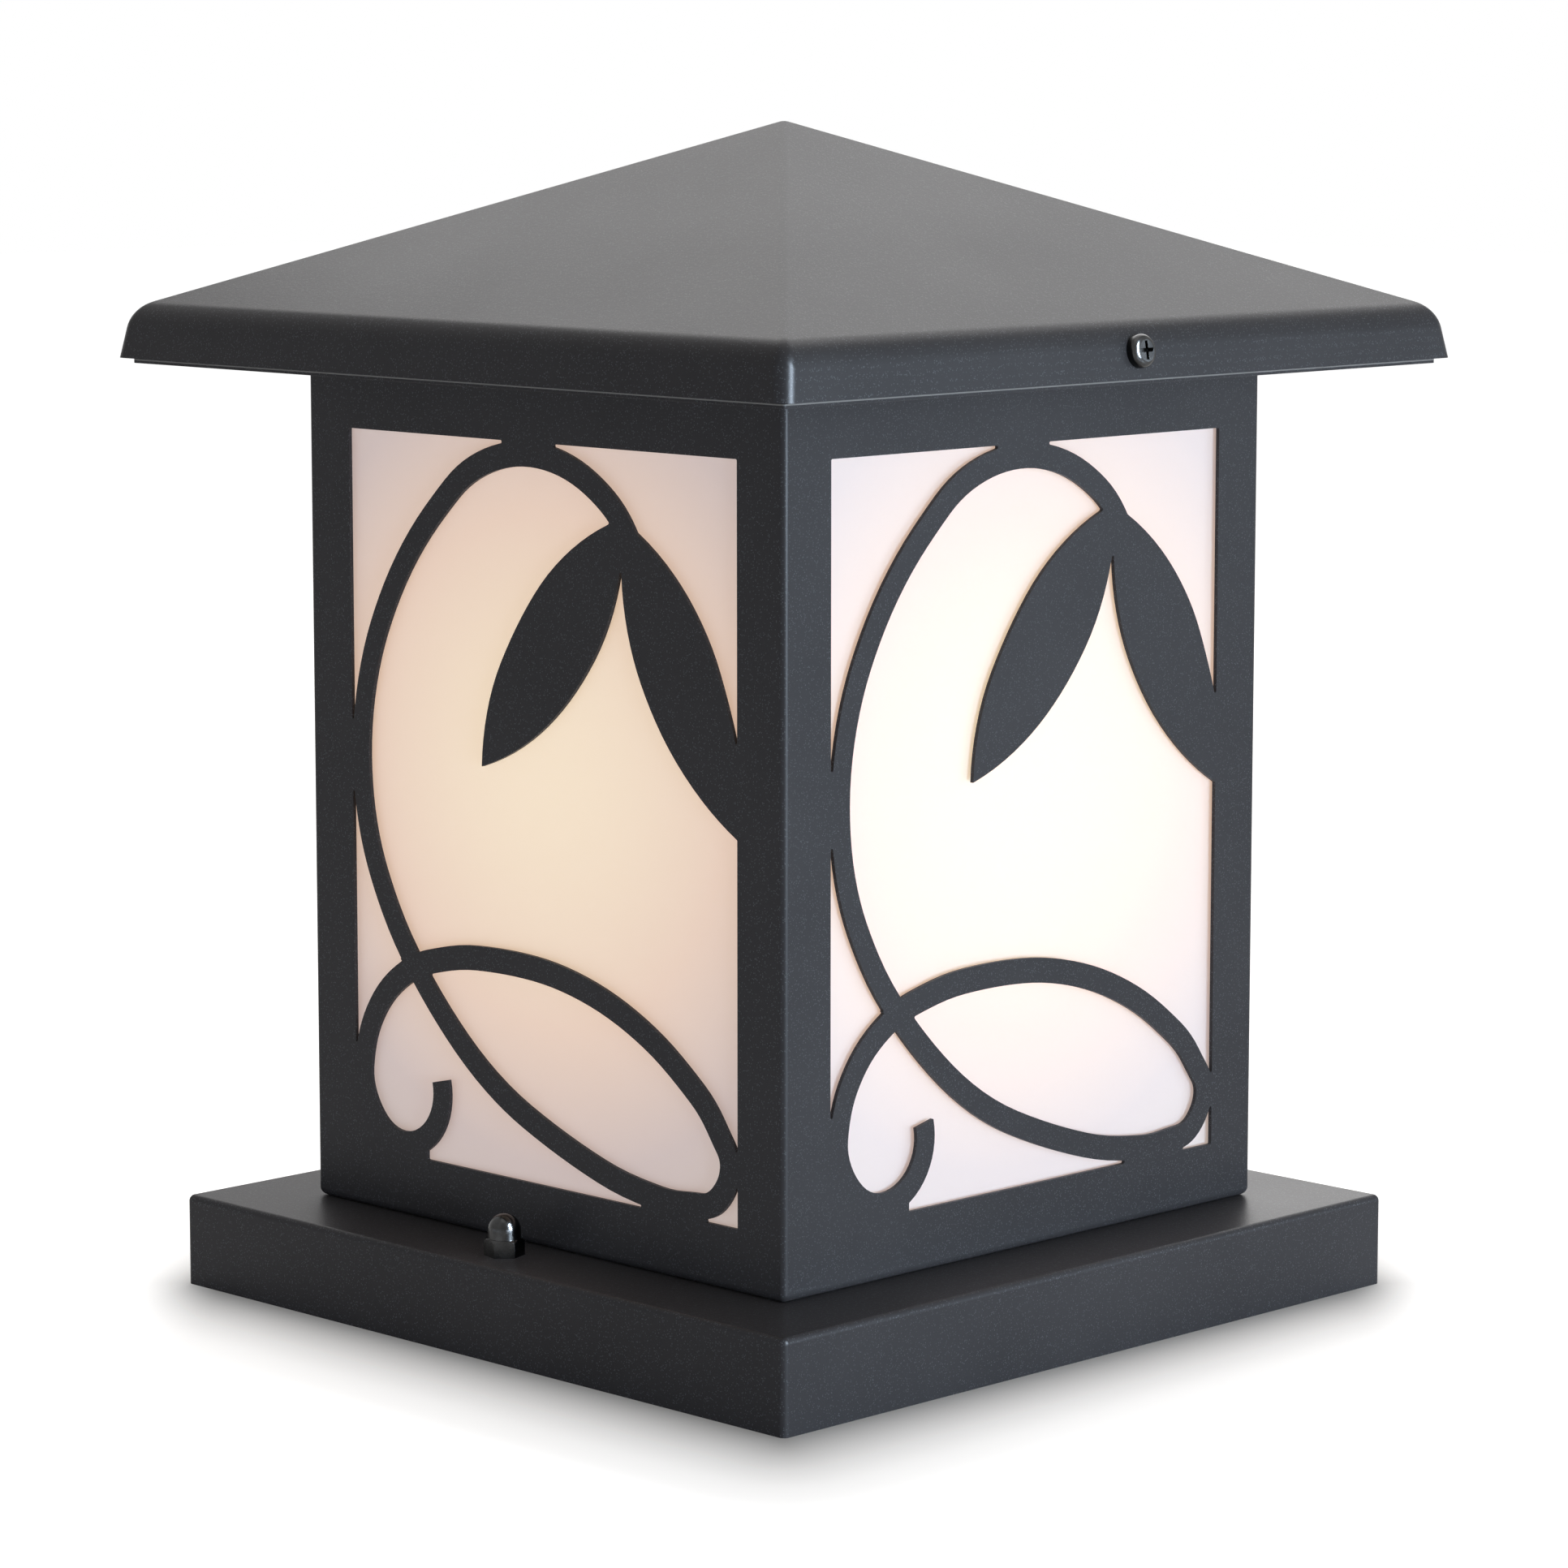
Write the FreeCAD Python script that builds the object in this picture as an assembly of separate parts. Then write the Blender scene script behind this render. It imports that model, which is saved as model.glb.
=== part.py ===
import FreeCAD
import Part
import math
import os
from FreeCAD import Rotation, Vector

# A square garden lantern: a folded base tray, a body of two folded sheets with
# cut-out vines, opal panels, a lift-off pyramid roof and a screw-in bulb.
# Millimetres. Z is up, the origin is at the middle of the base's underside,
# and the two faces that show most look along -Y and +X.

# Base tray
LEDGE_WIDTH = 27.65             # from the body to the tray's outer face
BASE_HEIGHT = 27.0
BASE_SHEET = 1.5
BASE_BEND = 0.4                 # inside radius of the folds

# Lantern body, two L-shaped halves that meet at the left and right corners
BODY_WIDTH = 195.5
BODY_HEIGHT = 246.5
BODY_SHEET = 1.2
CORNER_BEND = 0.5               # inside radius of the upright folds
EDGE_BEND = 1.2                 # inside radius at the top and bottom edges
FLANGE_DEPTH = 16.0             # turned-in flanges, measured from the outer face
SEAM_GAP = 0.4
RELIEF_WIDTH = 1.0              # slit between two flanges at a folded corner
RELIEF_START = 3.5              # from the outer corner, along each side

# Windows and the vine cut in them
WINDOW_SIDE_MARGIN = 17.9
WINDOW_END_MARGIN = 17.9
VINE_WIDTH = 7.1
CUT_CORNER_RADIUS = 0.45        # as the cutting leaves every corner of an opening

# Opal panels and the slotted posts that hold them
PANEL_THICKNESS = 2.0
PANEL_CLEARANCE = 0.2
PANEL_SIDE_PLAY = 0.5
PANEL_TOP_PLAY = 0.6
POST_WALL = 1.3
POST_CORE = 6.0
POST_LEG = 14.0
FOLD_CLEARANCE = 0.3

# Pop rivets that hold the body to the base and to the soffit tray
RIVET_RADIUS = 2.0
RIVET_HEAD_RADIUS = 3.6
RIVET_HEAD_HEIGHT = 1.2
RIVET_TAIL_RADIUS = 2.8
RIVET_TAIL_HEIGHT = 2.0
RIVET_SPACING = 110.0
HOLE_CLEARANCE = 0.15

# Soffit tray and the upstand that carries the roof
TRAY_SHEET = 1.2
TRAY_CORNER = 0.8
TRAY_INSET = 3.95               # behind the lower edge of the roof's skirt
TRAY_OPENING_MARGIN = 6.5       # from the rivets' line to the opening
UPSTAND_SHEET = 1.2
SEAT_GAP = 0.3                  # between a lifting or turning piece and its seat

# Roof
ROOF_OVERHANG = 39.85           # from the body to the skirt's lower edge
ROOF_SHEET = 1.2
SKIRT_HEIGHT = 14.05
SKIRT_FLARE = 2.49
SKIRT_DROP_GAP = 0.4            # skirt's edge above the soffit tray
ROOF_RISE = 54.45               # from the shoulder line to the peak
SHOULDER_RADIUS = 10.0
HIP_RADIUS = 4.5
ROOF_LIFT = 150.0

# Roof screws: M5 pan heads in nuts welded inside the skirt
ROOF_SCREW_HEIGHT = 7.5         # above the skirt's lower edge
ROOF_SCREW_RADIUS = 2.5
PAN_HEAD_RADIUS = 4.7
PAN_HEAD_HEIGHT = 3.4
PAN_EDGE_RADIUS = 1.9
RECESS_WIDTH = 1.1
RECESS_LENGTH = 5.2
RECESS_DEPTH = 1.9
WELD_NUT_FLATS = 8.0
WELD_NUT_HEIGHT = 4.0
WELD_NUT_STANDOFF = 0.6         # its weld points keep it off the sheet
TIP_GAP = 0.15

# Mounting bar under the base, with its two studs and cap nuts
BAR_WIDTH = 30.0
BAR_THICKNESS = 2.5
BAR_END_BEYOND_STUD = 6.5
ANCHOR_SPACING = 150.0
ANCHOR_SLOT_WIDTH = 6.5
ANCHOR_SLOT_LENGTH = 25.0
STUD_RADIUS = 3.0
STUD_FLANGE_RADIUS = 4.5
STUD_FLANGE_HEIGHT = 1.5
STUD_ENGAGEMENT = 7.0
CAP_NUT_FLATS = 10.0
CAP_NUT_HEX_HEIGHT = 5.0
CAP_NUT_HEIGHT = 12.0
CAP_NUT_DOME_RADIUS = 4.75
CAP_NUT_BORE_DEPTH = 8.0
THREAD_CLEARANCE = 0.05

# Lamp bracket, a strip folded into a hat along Y
BRACKET_WIDTH = 30.0
BRACKET_SHEET = 1.5
BRACKET_HEIGHT = 30.0
BRACKET_SPAN = 70.0
BRACKET_FOOT = 15.0
BRACKET_BEND = 1.5
SMALL_SCREW_RADIUS = 2.0
SMALL_HEAD_RADIUS = 3.8
SMALL_HEAD_HEIGHT = 2.4
SMALL_NUT_FLATS = 7.0
SMALL_NUT_HEIGHT = 3.2
SMALL_TIP_BEYOND_NUT = 1.0

# Lampholder for a 27 mm screw cap
HOLDER_RADIUS = 21.0
HOLDER_HEIGHT = 48.0
HOLDER_EDGE_RADIUS = 2.5
HOLDER_FLOOR = 15.0
SHELL_INNER_RADIUS = 13.6
SHELL_WALL = 0.5
SHELL_CLEARANCE = 0.15
SHELL_FLOOR_GAP = 2.0
SHELL_TOP_GAP = 1.5
CONTACT_RADIUS = 3.0
CONTACT_BASE_RADIUS = 7.0
CONTACT_BASE_HEIGHT = 1.0
CONTACT_HEIGHT = 5.0
HOLDER_SCREW_SPACING = 24.0
HOLDER_SCREW_RADIUS = 1.5
HOLDER_SCREW_HEAD_RADIUS = 2.8
HOLDER_SCREW_HEAD_HEIGHT = 1.8
HOLDER_SCREW_REACH = 8.0
WIRE_ENTRY_DEPTH = 6.0

# Bulb, 60 mm across and 109 mm long
BULB_TIP_RADIUS = 4.5
BULB_TIP_HEIGHT = 2.0
BULB_GLASS_HEIGHT = 3.0
BULB_CAP_RADIUS = 13.1
BULB_CAP_WALL = 0.4
BULB_CAP_HEIGHT = 19.0
BULB_GLASS_TOP_RADIUS = 11.5
BULB_HOUSING_HEIGHT = 36.4
BULB_HOUSING_TOP_RADIUS = 23.5
BULB_HOUSING_WALL = 1.4
BULB_GLOBE_RADIUS = 30.0
BULB_GLOBE_WALL = 0.9
LED_PLATE_THICKNESS = 1.6
LED_PLATE_DEPTH = 1.0           # below the housing's rim
LED_CHIP_SIZE = 3.0
LED_CHIP_HEIGHT = 0.7
LED_CHIP_COUNT = 8
LED_RING_RADIUS = 12.0
BULB_THREAD_PITCH = 3.62
BULB_TURNS = 3.5

# Terminal block, leads and earth point on the base tray
BLOCK_SHARE = 4 / 7             # of the way from the bracket's edge to the earth point
BLOCK_WIDTH = 17.0
BLOCK_LENGTH = 38.0
BLOCK_HEIGHT = 13.0
BLOCK_EDGE = 1.2
WAY_PITCH = 8.0
WAY_COUNT = 3
WAY_BORE_DEPTH = 4.0
BLOCK_SCREW_RADIUS = 1.6
BLOCK_SCREW_HEAD_RADIUS = 2.6
BLOCK_SCREW_HEAD_HEIGHT = 1.8
BLOCK_SCREW_INSET = 3.9         # from each end of the block
CLAMP_SCREW_RADIUS = 1.8
CLAMP_SCREW_HEIGHT = 4.5
CLAMP_SCREW_SINK = 3.6
SLOT_WIDTH = 0.6
SLOT_DEPTH = 0.8
WIRE_RADIUS = 1.25
WIRE_HEIGHT = 6.0               # above the base tray
WIRE_HOLE_CLEARANCE = 0.2
LEAD_CLEARANCE = 0.75           # between a rising lead and the bracket
EARTH_POINT_INSET = 14.25       # from the inner edge of the body's flange
EARTH_POINT_Y = 44.0
LUG_RING_RADIUS = 4.2
LUG_SHEET = 0.8
LUG_BARREL_RADIUS = 1.9
LUG_BARREL_LENGTH = 7.0
LUG_BARREL_GAP = 6.5            # from the stud to the barrel

# Cable grommet in the base tray
GROMMET_OFFSET = 45.0           # from the axis, towards +X
GROMMET_BORE_RADIUS = 4.5
GROMMET_NECK_RADIUS = 7.0
GROMMET_FLANGE_RADIUS = 9.5
GROMMET_FLANGE_HEIGHT = 2.0
GROMMET_LIP_ROUND = 0.8

OVERRUN = 1.0                   # how far cutting solids pass the face they cut

# The vine's middle line, as shares of the window's width and height from its
# lower left corner. It climbs from the leaves' stem over the top, down the left
# side to the lower right corner, turns there and ends in the lower left curl.
VINE_SHARES = (
    (0.7325, 0.885),
    (0.715, 0.904), (0.637, 0.952), (0.487, 0.984), (0.338, 0.960), (0.222, 0.890),
    (0.112, 0.783), (0.048, 0.674), (0.024, 0.550), (0.044, 0.436), (0.098, 0.342),
    (0.219, 0.223), (0.370, 0.127), (0.562, 0.060), (0.750, 0.022), (0.862, 0.017),
    (0.950, 0.033), (0.979, 0.076), (0.944, 0.130), (0.844, 0.199), (0.712, 0.254),
    (0.562, 0.287), (0.411, 0.296), (0.261, 0.287), (0.152, 0.261), (0.070, 0.210),
    (0.029, 0.149), (0.026, 0.081), (0.130, 0.016), (0.227, 0.062), (0.234, 0.114),
)
VINE_TURN = 17                  # the point where it turns back and its second band starts

# Metal left standing in the window's lower left corner, behind the curl
CORNER_SHARES = (
    (-0.01, -0.01), (0.195, -0.01), (0.195, 0.022), (0.130, 0.016),
    (0.060, 0.040), (0.028, 0.100), (0.028, 0.143), (-0.01, 0.143),
)

# The two leaves: each has an outer edge from the stem to its tip and an inner
# edge from the tip to the notch between the leaves.
LEFT_LEAF_OUTER_SHARES = ((0.684, 0.901), (0.549, 0.840), (0.445, 0.750), (0.375, 0.650), (0.353, 0.558))
LEFT_LEAF_INNER_SHARES = ((0.353, 0.558), (0.483, 0.603), (0.594, 0.674), (0.680, 0.769), (0.716, 0.858))
RIGHT_LEAF_OUTER_SHARES = ((0.748, 0.895), (0.845, 0.840), (0.921, 0.769), (0.978, 0.674), (1.004, 0.610))
RIGHT_LEAF_INNER_SHARES = ((1.010, 0.506), (0.914, 0.555), (0.800, 0.650), (0.738, 0.745), (0.716, 0.858))
STEM_LEFT_SHARE = (0.700, 0.915)
STEM_RIGHT_SHARE = (0.735, 0.905)
LEAF_ROOT_SHARE = (1.030, 0.550)

# Places worked out from the sizes above
BODY_HALF = BODY_WIDTH / 2
BASE_HALF = BODY_HALF + LEDGE_WIDTH
BASE_PLATE_BOTTOM = BASE_HEIGHT - BASE_SHEET
ROOF_HALF = BODY_HALF + ROOF_OVERHANG
BODY_INNER_HALF = BODY_HALF - BODY_SHEET
BODY_BOTTOM = BASE_HEIGHT
BODY_TOP = BODY_BOTTOM + BODY_HEIGHT
FLOOR_TOP = BODY_BOTTOM + BODY_SHEET
CEILING = BODY_TOP - BODY_SHEET
WINDOW_WIDTH = BODY_WIDTH - 2 * WINDOW_SIDE_MARGIN
WINDOW_HEIGHT = BODY_HEIGHT - 2 * WINDOW_END_MARGIN
WINDOW_BOTTOM = BODY_BOTTOM + WINDOW_END_MARGIN

SLOT_OPENING = PANEL_THICKNESS + PANEL_CLEARANCE
POST_DEPTH = POST_WALL + SLOT_OPENING + POST_WALL
PANEL_OUTER = BODY_INNER_HALF - POST_WALL - PANEL_CLEARANCE / 2
PANEL_HALF_WIDTH = BODY_INNER_HALF - max(POST_CORE, POST_DEPTH) - PANEL_SIDE_PLAY

RIVET_LINE = BODY_HALF - (POST_DEPTH + BODY_SHEET + FLANGE_DEPTH) / 2
TRAY_BOTTOM = BODY_TOP
TRAY_TOP = TRAY_BOTTOM + TRAY_SHEET
TRAY_HALF = ROOF_HALF - TRAY_INSET
TRAY_OPENING_HALF = RIVET_LINE - TRAY_OPENING_MARGIN

SKIRT_BOTTOM = TRAY_TOP + SKIRT_DROP_GAP
SHOULDER_Z = SKIRT_BOTTOM + SKIRT_HEIGHT
SHOULDER_HALF = ROOF_HALF - SKIRT_FLARE
PEAK_Z = SHOULDER_Z + ROOF_RISE
SKIRT_LEAN = math.atan2(SKIRT_FLARE, SKIRT_HEIGHT)
ROOF_PITCH = math.atan2(ROOF_RISE, SHOULDER_HALF)

SCREW_SEAT_X = ROOF_HALF - SKIRT_FLARE * ROOF_SCREW_HEIGHT / SKIRT_HEIGHT
SCREW_SEAT_Z = SKIRT_BOTTOM + ROOF_SCREW_HEIGHT
WELD_NUT_DEPTH = ROOF_SHEET + WELD_NUT_STANDOFF + WELD_NUT_HEIGHT
NUT_REACH = WELD_NUT_DEPTH * math.cos(SKIRT_LEAN) + WELD_NUT_FLATS / 2 * math.sin(SKIRT_LEAN)
UPSTAND_HALF = SCREW_SEAT_X - NUT_REACH - 2 * SEAT_GAP
ROOF_SEAT_Z = PEAK_Z - ROOF_SHEET / math.cos(ROOF_PITCH) - UPSTAND_HALF * math.tan(ROOF_PITCH)
UPSTAND_TOP = ROOF_SEAT_Z - SEAT_GAP
SCREW_LENGTH = (
    SCREW_SEAT_X - ROOF_SCREW_RADIUS * math.sin(SKIRT_LEAN) - UPSTAND_HALF - TIP_GAP
) / math.cos(SKIRT_LEAN)

LEDGE_MIDDLE = (BASE_HALF + BODY_HALF) / 2
BAR_HALF_LENGTH = LEDGE_MIDDLE + BAR_END_BEYOND_STUD

BRACKET_TOP = BASE_HEIGHT + BRACKET_HEIGHT
BRACKET_FOOT_MIDDLE = BRACKET_SPAN / 2 + BRACKET_FOOT / 2
HOLDER_BOTTOM = BRACKET_TOP
HOLDER_TOP = HOLDER_BOTTOM + HOLDER_HEIGHT
HOLDER_WELL_Z = HOLDER_BOTTOM + HOLDER_FLOOR
SHELL_OUTER_RADIUS = SHELL_INNER_RADIUS + SHELL_WALL
CONTACT_TOP = HOLDER_WELL_Z + CONTACT_BASE_HEIGHT + CONTACT_HEIGHT

BULB_BOTTOM = CONTACT_TOP + SEAT_GAP
BULB_GLASS_Z = BULB_BOTTOM + BULB_TIP_HEIGHT
BULB_CAP_Z = BULB_GLASS_Z + BULB_GLASS_HEIGHT
BULB_HOUSING_Z = BULB_CAP_Z + BULB_CAP_HEIGHT
BULB_RIM_Z = BULB_HOUSING_Z + BULB_HOUSING_HEIGHT
BULB_RISE = BULB_THREAD_PITCH * BULB_TURNS

EARTH_LEAD_X = -(BODY_HALF - FLANGE_DEPTH - EARTH_POINT_INSET)
BLOCK_OFFSET = BRACKET_WIDTH / 2 + (-EARTH_LEAD_X - BRACKET_WIDTH / 2) * BLOCK_SHARE
BLOCK_SIDE_X = -BLOCK_OFFSET + BLOCK_WIDTH / 2
BLOCK_BACK_X = -BLOCK_OFFSET - BLOCK_WIDTH / 2
WIRE_Z = BASE_HEIGHT + WIRE_HEIGHT
LEAD_X = -(BRACKET_WIDTH / 2 + LEAD_CLEARANCE + WIRE_RADIUS)
LUG_RING_Z = WIRE_Z - LUG_BARREL_RADIUS

Z_AXIS = Vector(0, 0, 1)
ORIGIN = Vector(0, 0, 0)
QUARTER_TURN = 90
HALF_TURN = 180


def box(x_low, x_high, y_low, y_high, z_low, z_high):
    """A box between two corners."""
    return Part.makeBox(x_high - x_low, y_high - y_low, z_high - z_low, Vector(x_low, y_low, z_low))


def square_block(half, z_low, z_high):
    """A square block centred on the axis."""
    return box(-half, half, -half, half, z_low, z_high)


def rod(radius, z_low, z_high, x=0, y=0):
    """An upright cylinder."""
    return Part.makeCylinder(radius, z_high - z_low, Vector(x, y, z_low))


def tube(outer, inner, z_low, z_high, x=0, y=0):
    """An upright cylinder with a through bore."""
    return rod(outer, z_low, z_high, x, y).cut(rod(inner, z_low - OVERRUN, z_high + OVERRUN, x, y))


def hexagon(across_flats, z_low, z_high, x=0, y=0):
    """An upright hexagonal prism with two corners along X."""
    corner = across_flats / math.sqrt(3)
    angles = [math.radians(60 * step) for step in range(7)]
    points = [Vector(x + corner * math.cos(a), y + corner * math.sin(a), z_low) for a in angles]
    return Part.Face(Part.makePolygon(points)).extrude(Vector(0, 0, z_high - z_low))


def rotated(shape, degrees, centre=ORIGIN, axis=Z_AXIS):
    """A turned copy of a shape."""
    copy = shape.copy()
    copy.rotate(centre, axis, degrees)
    return copy


def moved(shape, x, y, z):
    """A shifted copy of a shape."""
    copy = shape.copy()
    copy.translate(Vector(x, y, z))
    return copy


def joined(shapes):
    """Separate solids as one group."""
    return Part.makeCompound([solid for shape in shapes for solid in shape.Solids])


def fused(shapes):
    """Touching or overlapping solids as one solid."""
    whole = shapes[0].fuse(list(shapes[1:]))
    return whole.removeSplitter()


def edges_where(shape, test):
    """The edges whose two ends both pass a test."""
    return [edge for edge in shape.Edges if all(test(vertex.Point) for vertex in edge.Vertexes)]


def rounded_square(half, z_low, z_high, corner, top=0, bottom=0):
    """A square block with rounded upright corners and rounded top and bottom edges."""
    block = square_block(half, z_low, z_high)
    if corner > 0:
        upright = [edge for edge in block.Edges if edge.BoundBox.ZLength > (z_high - z_low) / 2]
        block = block.makeFillet(corner, upright)
    if top > 0:
        block = block.makeFillet(top, edges_where(block, lambda point: point.z > z_high - top / 2))
    if bottom > 0:
        block = block.makeFillet(bottom, edges_where(block, lambda point: point.z < z_low + bottom / 2))
    return block


def at_corners(spacing, line):
    """The two places per side, on all four sides, of the body's rivets."""
    places = []
    for side in range(4):
        for along in (-spacing / 2, spacing / 2):
            place = Vector(along, -line, 0)
            places.append(Rotation(Z_AXIS, QUARTER_TURN * side).multVec(place))
    return places


def chain_tangents(points):
    """Directions along a smooth line through the points, each from the circle through three."""
    last = len(points) - 1
    directions = []
    for index in range(len(points)):
        middle = min(max(index, 1), last - 1)
        before = points[middle] - points[middle - 1]
        after = points[middle + 1] - points[middle]
        direction = before * (after.Length / before.Length) + after * (before.Length / after.Length)
        direction.normalize()
        if index in (0, last):
            chord = before if index == 0 else after
            unit = chord / chord.Length
            direction = unit * (2 * unit.dot(direction)) - direction
        directions.append(direction)
    return directions


def arc_from(start, direction, end):
    """The middle point and the end direction of the arc that leaves start along direction."""
    chord = end - start
    unit = chord / chord.Length
    end_direction = unit * (2 * unit.dot(direction)) - direction
    across = Vector(-unit.y, unit.x, 0)
    half_turn = math.atan2(across.dot(direction), unit.dot(direction)) / 2
    middle = (start + end) / 2 + across * (chord.Length / 2 * math.tan(half_turn))
    return middle, end_direction


def smooth_chain(points):
    """Pairs of tangent arcs through the points: start, its direction, middle, end, its direction."""
    directions = chain_tangents(points)
    chain = []
    for index in range(len(points) - 1):
        start, end = points[index], points[index + 1]
        leaving, arriving = directions[index], directions[index + 1]
        chord = end - start
        spread = 2 * (1 - leaving.dot(arriving))
        along = chord.dot(leaving + arriving)
        reach = chord.dot(chord) / (along + math.sqrt(along * along + spread * chord.dot(chord)))
        meeting = (start + end + (leaving - arriving) * reach) / 2
        middle, passing = arc_from(start, leaving, meeting)
        chain.append((start, leaving, middle, meeting, passing))
        middle, arrived = arc_from(meeting, passing, end)
        chain.append((meeting, passing, middle, end, arrived))
    return chain


def left_of(direction):
    """The unit direction to the left, in the drawing's plane."""
    return Vector(-direction.y, direction.x, 0)


def chain_edges(chain, shift=0):
    """The arcs of a chain, moved sideways by a distance."""
    edges = []
    for start, leaving, middle, end, arriving in chain:
        through = (end - start).normalize()
        first = start + left_of(leaving) * shift
        second = middle + left_of(through) * shift
        third = end + left_of(arriving) * shift
        edges.append(Part.Arc(first, second, third).toShape())
    return edges


def line_between(first, second):
    """A straight edge."""
    return Part.LineSegment(first, second).toShape()


def closed_face(edges):
    """A flat face inside edges that follow one another."""
    return Part.Face(Part.Wire(Part.__sortEdges__(edges)))


def window_point(share):
    """A place in the window from its shares of the width and the height."""
    return Vector((share[0] - 1 / 2) * WINDOW_WIDTH, share[1] * WINDOW_HEIGHT, 0)


def vine_band(chain):
    """A band of even width along a chain of arcs."""
    left_side = chain_edges(chain, VINE_WIDTH / 2)
    right_side = chain_edges(chain, -VINE_WIDTH / 2)
    ends = []
    for place, direction in ((chain[0][0], chain[0][1]), (chain[-1][3], chain[-1][4])):
        half = left_of(direction) * (VINE_WIDTH / 2)
        ends.append(line_between(place + half, place - half))
    return closed_face(left_side + right_side + ends)


def leaf(outer_shares, inner_shares, closing_shares):
    """A leaf between two smooth edges, closed by straight lines under the stem."""
    outer = smooth_chain([window_point(share) for share in outer_shares])
    inner = smooth_chain([window_point(share) for share in inner_shares])
    edges = chain_edges(outer) + chain_edges(inner)
    corners = [inner[-1][3]] + [window_point(share) for share in closing_shares] + [outer[0][0]]
    for first, second in zip(corners, corners[1:]):
        edges.append(line_between(first, second))
    if (outer[-1][3] - inner[0][0]).Length > HOLE_CLEARANCE:
        root = window_point(LEAF_ROOT_SHARE)
        edges.append(line_between(outer[-1][3], root))
        edges.append(line_between(root, inner[0][0]))
    return closed_face(edges)


def window_strip(x_low, x_high):
    """A flat upright strip over the window's height."""
    corners = [
        Vector(x_low, 0, 0), Vector(x_high, 0, 0), Vector(x_high, WINDOW_HEIGHT, 0), Vector(x_low, WINDOW_HEIGHT, 0)
    ]
    return Part.Face(Part.makePolygon(corners + corners[:1]))


def softened(face):
    """A flat face with rounded corners, freed of the slivers that no cut could make."""
    cores = closed_face(face.OuterWire.Edges).makeOffset2D(-CUT_CORNER_RADIUS).Faces
    pieces = []
    for core in cores:
        pieces.extend(closed_face(core.OuterWire.Edges).makeOffset2D(CUT_CORNER_RADIUS).Faces)
    return pieces


def window_openings():
    """The parts of one window that are cut away round the vine, as solids through the -Y face."""
    half = WINDOW_WIDTH / 2
    window = window_strip(-half, half)
    vine = smooth_chain([window_point(share) for share in VINE_SHARES])
    corner = [window_point(share) for share in CORNER_SHARES]
    kept = [
        vine_band(vine[:2 * VINE_TURN]),
        vine_band(vine[2 * VINE_TURN:]),
        Part.Face(Part.makePolygon(corner + corner[:1])),
        leaf(LEFT_LEAF_OUTER_SHARES, LEFT_LEAF_INNER_SHARES, (STEM_RIGHT_SHARE, STEM_LEFT_SHARE)),
        leaf(RIGHT_LEAF_OUTER_SHARES, RIGHT_LEAF_INNER_SHARES, (STEM_LEFT_SHARE, STEM_RIGHT_SHARE)),
    ]
    # the corners are rounded in two overlapping strips, neither of which goes round the vine's free end
    free_end = vine[-1][3].x
    strips = [window_strip(-half, free_end + OVERRUN), window_strip(free_end - OVERRUN, half)]
    depth = Vector(0, 0, BODY_SHEET + 2 * OVERRUN)
    pieces = []
    for face in window.cut(kept).Faces:
        for strip in strips:
            for part in face.common(strip).Faces:
                pieces.extend(piece.extrude(depth) for piece in softened(part))
    solid = fused(pieces)
    solid.rotate(ORIGIN, Vector(1, 0, 0), QUARTER_TURN)
    return moved(solid, 0, -BODY_INNER_HALF + OVERRUN, WINDOW_BOTTOM)


def body_half(openings):
    """The half of the body with the -Y and +X faces: two walls folded from one sheet."""
    corner = CORNER_BEND + BODY_SHEET
    edge = EDGE_BEND + BODY_SHEET
    shell = rounded_square(BODY_HALF, BODY_BOTTOM, BODY_TOP, corner, edge, edge)
    shell = shell.cut(rounded_square(BODY_INNER_HALF, FLOOR_TOP, CEILING, CORNER_BEND, EDGE_BEND, EDGE_BEND))
    throat = square_block(BODY_HALF - FLANGE_DEPTH, BODY_BOTTOM - OVERRUN, BODY_TOP + OVERRUN)
    shell = shell.cut(throat)
    # a slab standing on the diagonal keeps the half that the camera side shows
    side = 2 * BODY_WIDTH
    keep = box(-side, side, -side, -SEAM_GAP / 2, BODY_BOTTOM - OVERRUN, BODY_TOP + OVERRUN)
    shell = shell.common(rotated(keep, QUARTER_TURN / 2))
    cutters = [openings, rotated(openings, QUARTER_TURN)]
    relief_reach = (BODY_HALF - RELIEF_START) * math.sqrt(2)
    for z_low, z_high in ((BODY_BOTTOM, FLOOR_TOP), (CEILING, BODY_TOP)):
        slit = box(0, relief_reach, -RELIEF_WIDTH / 2, RELIEF_WIDTH / 2, z_low - OVERRUN, z_high + OVERRUN)
        cutters.append(rotated(slit, -QUARTER_TURN / 2))
    for place in at_corners(RIVET_SPACING, RIVET_LINE):
        hole = RIVET_RADIUS + HOLE_CLEARANCE
        cutters.append(rod(hole, BODY_BOTTOM - OVERRUN, BODY_TOP + OVERRUN, place.x, place.y))
    return shell.cut(cutters)


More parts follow.
